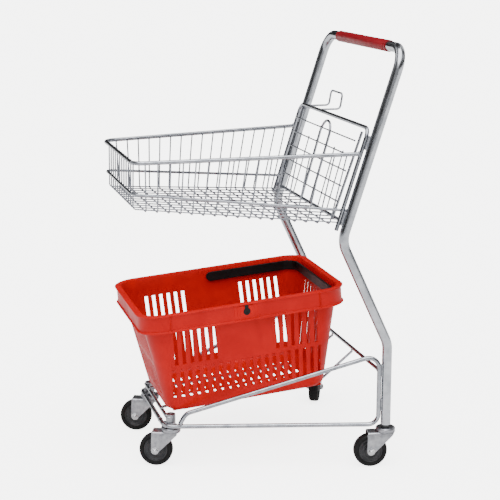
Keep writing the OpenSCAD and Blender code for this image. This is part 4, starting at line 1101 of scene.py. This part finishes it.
def carried_round(path, section):
    """A section of (outward, up) carried round a closed flat path without a seam:
    point = path + outward * normal + up * z, the normal being the path's way turned
    a quarter to the right."""
    way = unit(np.roll(path, -1, 0) - np.roll(path, 1, 0))
    normal = np.stack([way[:, 1], -way[:, 0]], -1)
    section = np.asarray(section, float)
    flat = path[:, None] + section[None, :, :1] * normal[:, None]
    up = np.broadcast_to(section[None, :, 1:], (*flat.shape[:2], 1))
    rings = np.concatenate([flat, up], -1)
    return rings_to_shape(rings, rings, loop=True)


lip = carried_round(rim_path, lip_section)


def plate(x0, x1, z0, z1, y0, y1, bend):
    """A flat plate that faces sideways: a rounded outline from y0 to y1, with an eased
    outer edge."""
    ease = 0.5
    outer = rounded([(x0, z0), (x1, z0), (x1, z1), (x0, z1)], bend)
    inner = rounded([(x0 + ease, z0 + ease), (x1 - ease, z0 + ease), (x1 - ease, z1 - ease),
                     (x0 + ease, z1 - ease)], bend - ease / 2)
    layers = [(outer, y0), (outer, y1 - ease), (inner, y1)]
    rings = np.array([np.stack([o[:, 0], np.full(len(o), y), o[:, 1]], -1) for o, y in layers])
    points, faces, straight = rings_to_shape(rings, rings)
    return points, [face[::-1] for face in faces], straight


SKIRT_Y = LIP_W / 2 - 4
PIVOT_Z = -19.0
frames = [plate(-w, w, -low, -top, SKIRT_Y - 1, SKIRT_Y + out, 1.6)
          for w, low, top, out in ((28, 38.6, 3.6, 1.2), (21.5, 34.5, 6, 2.3), (15.5, 30.5, 8.5, 3.3))]
ribs = [plate(x - 0.9, x + 0.9, -38, -4, SKIRT_Y - 1, SKIRT_Y + 2.6, 0.7) for x in (-171, 171)]
inner_ribs = [plate(x - 1.2, x + 1.2, -38, -3, TOP_W / 2 - 3, SKIRT_Y - 2, 0.8) for x in (-120, -60, 60, 120)]
side_trim = joined(frames + ribs + inner_ribs)
rim_parts = joined([lip, side_trim, mirrored(side_trim)])
piece("lip_and_skirt", (stored(rim_parts[0]) + FEET, rim_parts[1], rim_parts[2]), "hand_basket", RED_PP)

# %% [markdown]
# ## Bail
#
# The carrying handle is a flat black bar that folds down inside the lip. Its section
# turns from a bar into a round end about each pivot, so its height changes along the
# path: beyond the pivot it follows a circle. A pin and a knob hold each end.

# %% Bail and knobs
BAIL_HALF, BAIL_T = 11.0, 5.0
SIDE_GAP, END_GAP = 1.6, 4.4
# the walls lean inwards, so the bail's lower edge sets how wide it can be
lean_share = (BAIL_HALF - PIVOT_Z) / (DEPTH - FOOT_CURVE)
inner_width = TOP_W - (TOP_W - FLOOR_W - 4) * lean_share - 2 * WALL_T
inner_length = TOP_L - (TOP_L - FLOOR_L - 6) * lean_share - 2 * WALL_T
bail_side = round(inner_width / 2 - SIDE_GAP - BAIL_T / 2, 2)
bail_back = round(inner_length / 2 - END_GAP - BAIL_T / 2, 2)
round_end = BAIL_HALF * np.sin(np.radians([84, 70, 55, 40, 25, 12, 0]))
bar_path = route([(0, bail_side, PIVOT_Z), (-bail_back, bail_side, PIVOT_Z),
                  (-bail_back, -bail_side, PIVOT_Z), (0, -bail_side, PIVOT_Z)], (31.5, 31.5), 14)
lead_in = np.stack([round_end, np.full(7, bail_side), np.full(7, PIVOT_Z)], -1)
bail_path = np.vstack([lead_in[:-1], bar_path, (lead_in * (1, -1, 1))[:-1][::-1]])
heights = np.full(len(bail_path), BAIL_HALF)
heights[:6] = np.sqrt(BAIL_HALF**2 - round_end[:-1]**2)
heights[-6:] = heights[:6][::-1]
flat_bar = rounded([(-1, -1), (1, -1), (1, 1), (-1, 1)], 0.16, 4)
bend_in = np.stack([np.full(len(bail_path), BAIL_T / 2), heights], -1)
bail_bar = swept(bail_path, flat_bar[None] * bend_in[:, None], (0, 1, 0))
pins = [turned([(0.5, 0), (5, 0), (5, SKIRT_Y - bail_side + 2), (0.5, SKIRT_Y - bail_side + 2)],
               (0, s * bail_side, PIVOT_Z), (0, s, 0), 32) for s in (-1, 1)]
bail = joined([bail_bar, *pins])
piece("folding_bail", (stored(bail[0]) + FEET, bail[1], bail[2]), "bail", BLACK_PP,
      ["basket_bail"])
knob_profile = [(0.5, 0.4), (8.6, 0.4), (9, 0.9), (9, 2.2), (8.2, 3.3), (6.4, 4), (4.4, 4.2),
                (3.2, 3.7), (0.5, 3.6)]
knobs = [turned(knob_profile, (0, s * SKIRT_Y, PIVOT_Z), (0, s, 0), 40) for s in (-1, 1)]
tab = plate(-4.4, 4.4, PIVOT_Z + 3, -4.6, SKIRT_Y + 2.6, SKIRT_Y + 4, 1.8)
knob_set = joined([*knobs, tab, mirrored(tab)])
piece("pivot_knobs", (stored(knob_set[0]) + FEET, knob_set[1], knob_set[2]), "bail", BLACK_PP,
      ["bail_knobs"])

# %% [markdown]
# ## Floor and light
#
# A plain pale floor runs past the edge of the view. One wide, soft sun stands almost
# overhead and gives the cart a faint shadow. The floor also glows, but only to the camera:
# so it looks near white, while the light that it throws back on the cart stays modest and
# the red keeps its colour. Polished rods show only what they mirror, so the world around
# the cart is mostly dim, with a few bright panels standing round it. They give each rod a
# pale streak between grey edges.

# %% Floor and light
FLOOR_HALF = 45.0
PANEL_LIGHT, SUN_LIGHT, BACKDROP_LIGHT = 2.2, 5.5, 4.5
SUN_FROM = Vector((0.15, 0.36, 1.0))
floor_mesh = bpy.data.meshes.new("studio_floor")
floor_corners = [(x * FLOOR_HALF, y * FLOOR_HALF, 0) for x, y in ((-1, -1), (1, -1), (1, 1), (-1, 1))]
floor_mesh.from_pydata(floor_corners, [], [(0, 1, 2, 3)])
studio_floor = bpy.data.objects.new("studio_floor", floor_mesh)
bpy.context.scene.collection.objects.link(studio_floor)
floor_finish, tree = new_finish("matt white studio floor")
place = node(tree, "ShaderNodeTexCoord")
dust = node(tree, "ShaderNodeTexNoise", {}, {"Vector": (place, "Object"), "Scale": 3.0, "Detail": 3.0})
tint = blend_colour(tree, (dust, 0), linear("F7F7F6"), linear("F4F4F3"))
matt = node(tree, "ShaderNodeBsdfDiffuse", {}, {"Color": (tint, 2)})
seen = node(tree, "ShaderNodeLightPath")
lift = node(tree, "ShaderNodeMath", {"operation": "MULTIPLY"},
            {0: (seen, "Is Camera Ray"), 1: BACKDROP_LIGHT})
lit = node(tree, "ShaderNodeEmission", {}, {"Color": (tint, 2), "Strength": (lift, 0)})
sheet = node(tree, "ShaderNodeAddShader", {}, {0: (matt, 0), 1: (lit, 0)})
node(tree, "ShaderNodeOutputMaterial", {}, {"Surface": (sheet, 0)})
floor_mesh.materials.append(floor_finish)

world = bpy.data.worlds.new("soft studio")
world.use_nodes = True
bpy.context.scene.world = world
tree = world.node_tree
tree.nodes.clear()


def tone_ramp(source, tones):
    """A grey ramp over source, from a list of (place, tone)."""
    made = node(tree, "ShaderNodeValToRGB", {}, {"Fac": source})
    stops = made.color_ramp.elements
    for stop, (at, tone) in zip(stops, (tones[0], tones[-1])):
        stop.position, stop.color = at, (tone, tone, tone, 1)
    for at, tone in tones[1:-1]:
        stops.new(at).color = (tone, tone, tone, 1)
    return made


ways = node(tree, "ShaderNodeTexCoord")
split = node(tree, "ShaderNodeSeparateXYZ", {}, {"Vector": (ways, "Generated")})
height = tone_ramp((split, "Z"), [(0.0, 0.3), (0.12, 0.3), (0.2, 0.10), (0.3, 0.12), (0.42, 0.9), (0.58, 1.0),
                                  (0.66, 0.12), (0.8, 0.15), (0.88, 0.8), (1.0, 0.8)])
round_ = node(tree, "ShaderNodeTexGradient", {"gradient_type": "RADIAL"}, {"Vector": (ways, "Generated")})
stripes = tone_ramp((round_, 0), [(0.0, 0.06), (0.05, 0.08), (0.08, 1.0), (0.14, 1.0), (0.17, 0.06),
                                  (0.32, 0.05), (0.36, 1.0), (0.42, 0.9), (0.46, 0.06), (0.60, 0.05),
                                  (0.64, 1.0), (0.72, 1.0), (0.76, 0.06), (0.90, 0.06), (0.93, 0.7),
                                  (0.96, 0.7), (1.0, 0.06)])
both = node(tree, "ShaderNodeMix", {"data_type": "RGBA", "blend_type": "MULTIPLY"},
            {0: 0.97, 6: (height, 0), 7: (stripes, 0)})
seen = node(tree, "ShaderNodeLightPath")
panels = node(tree, "ShaderNodeMix", {"data_type": "RGBA", "blend_type": "MULTIPLY"},
              {0: 1.0, 6: (both, 2), 7: (PANEL_LIGHT, PANEL_LIGHT, PANEL_LIGHT, 1)})
sky = node(tree, "ShaderNodeMix", {"data_type": "RGBA"},
           {0: (seen, "Is Camera Ray"), 6: (panels, 2), 7: (6.0, 6.0, 6.0, 1)})
glow = node(tree, "ShaderNodeBackground", {}, {"Color": (sky, 2), "Strength": 1.0})
node(tree, "ShaderNodeOutputWorld", {}, {"Surface": (glow, 0)})

sun = bpy.data.lights.new("overhead sun", "SUN")
sun.energy, sun.angle = SUN_LIGHT, math.radians(70)
sun_lamp = bpy.data.objects.new("overhead sun", sun)
sun_lamp.rotation_euler = (-SUN_FROM).to_track_quat("-Z", "Y").to_euler()
bpy.context.scene.collection.objects.link(sun_lamp)
print("floor and sun in place")
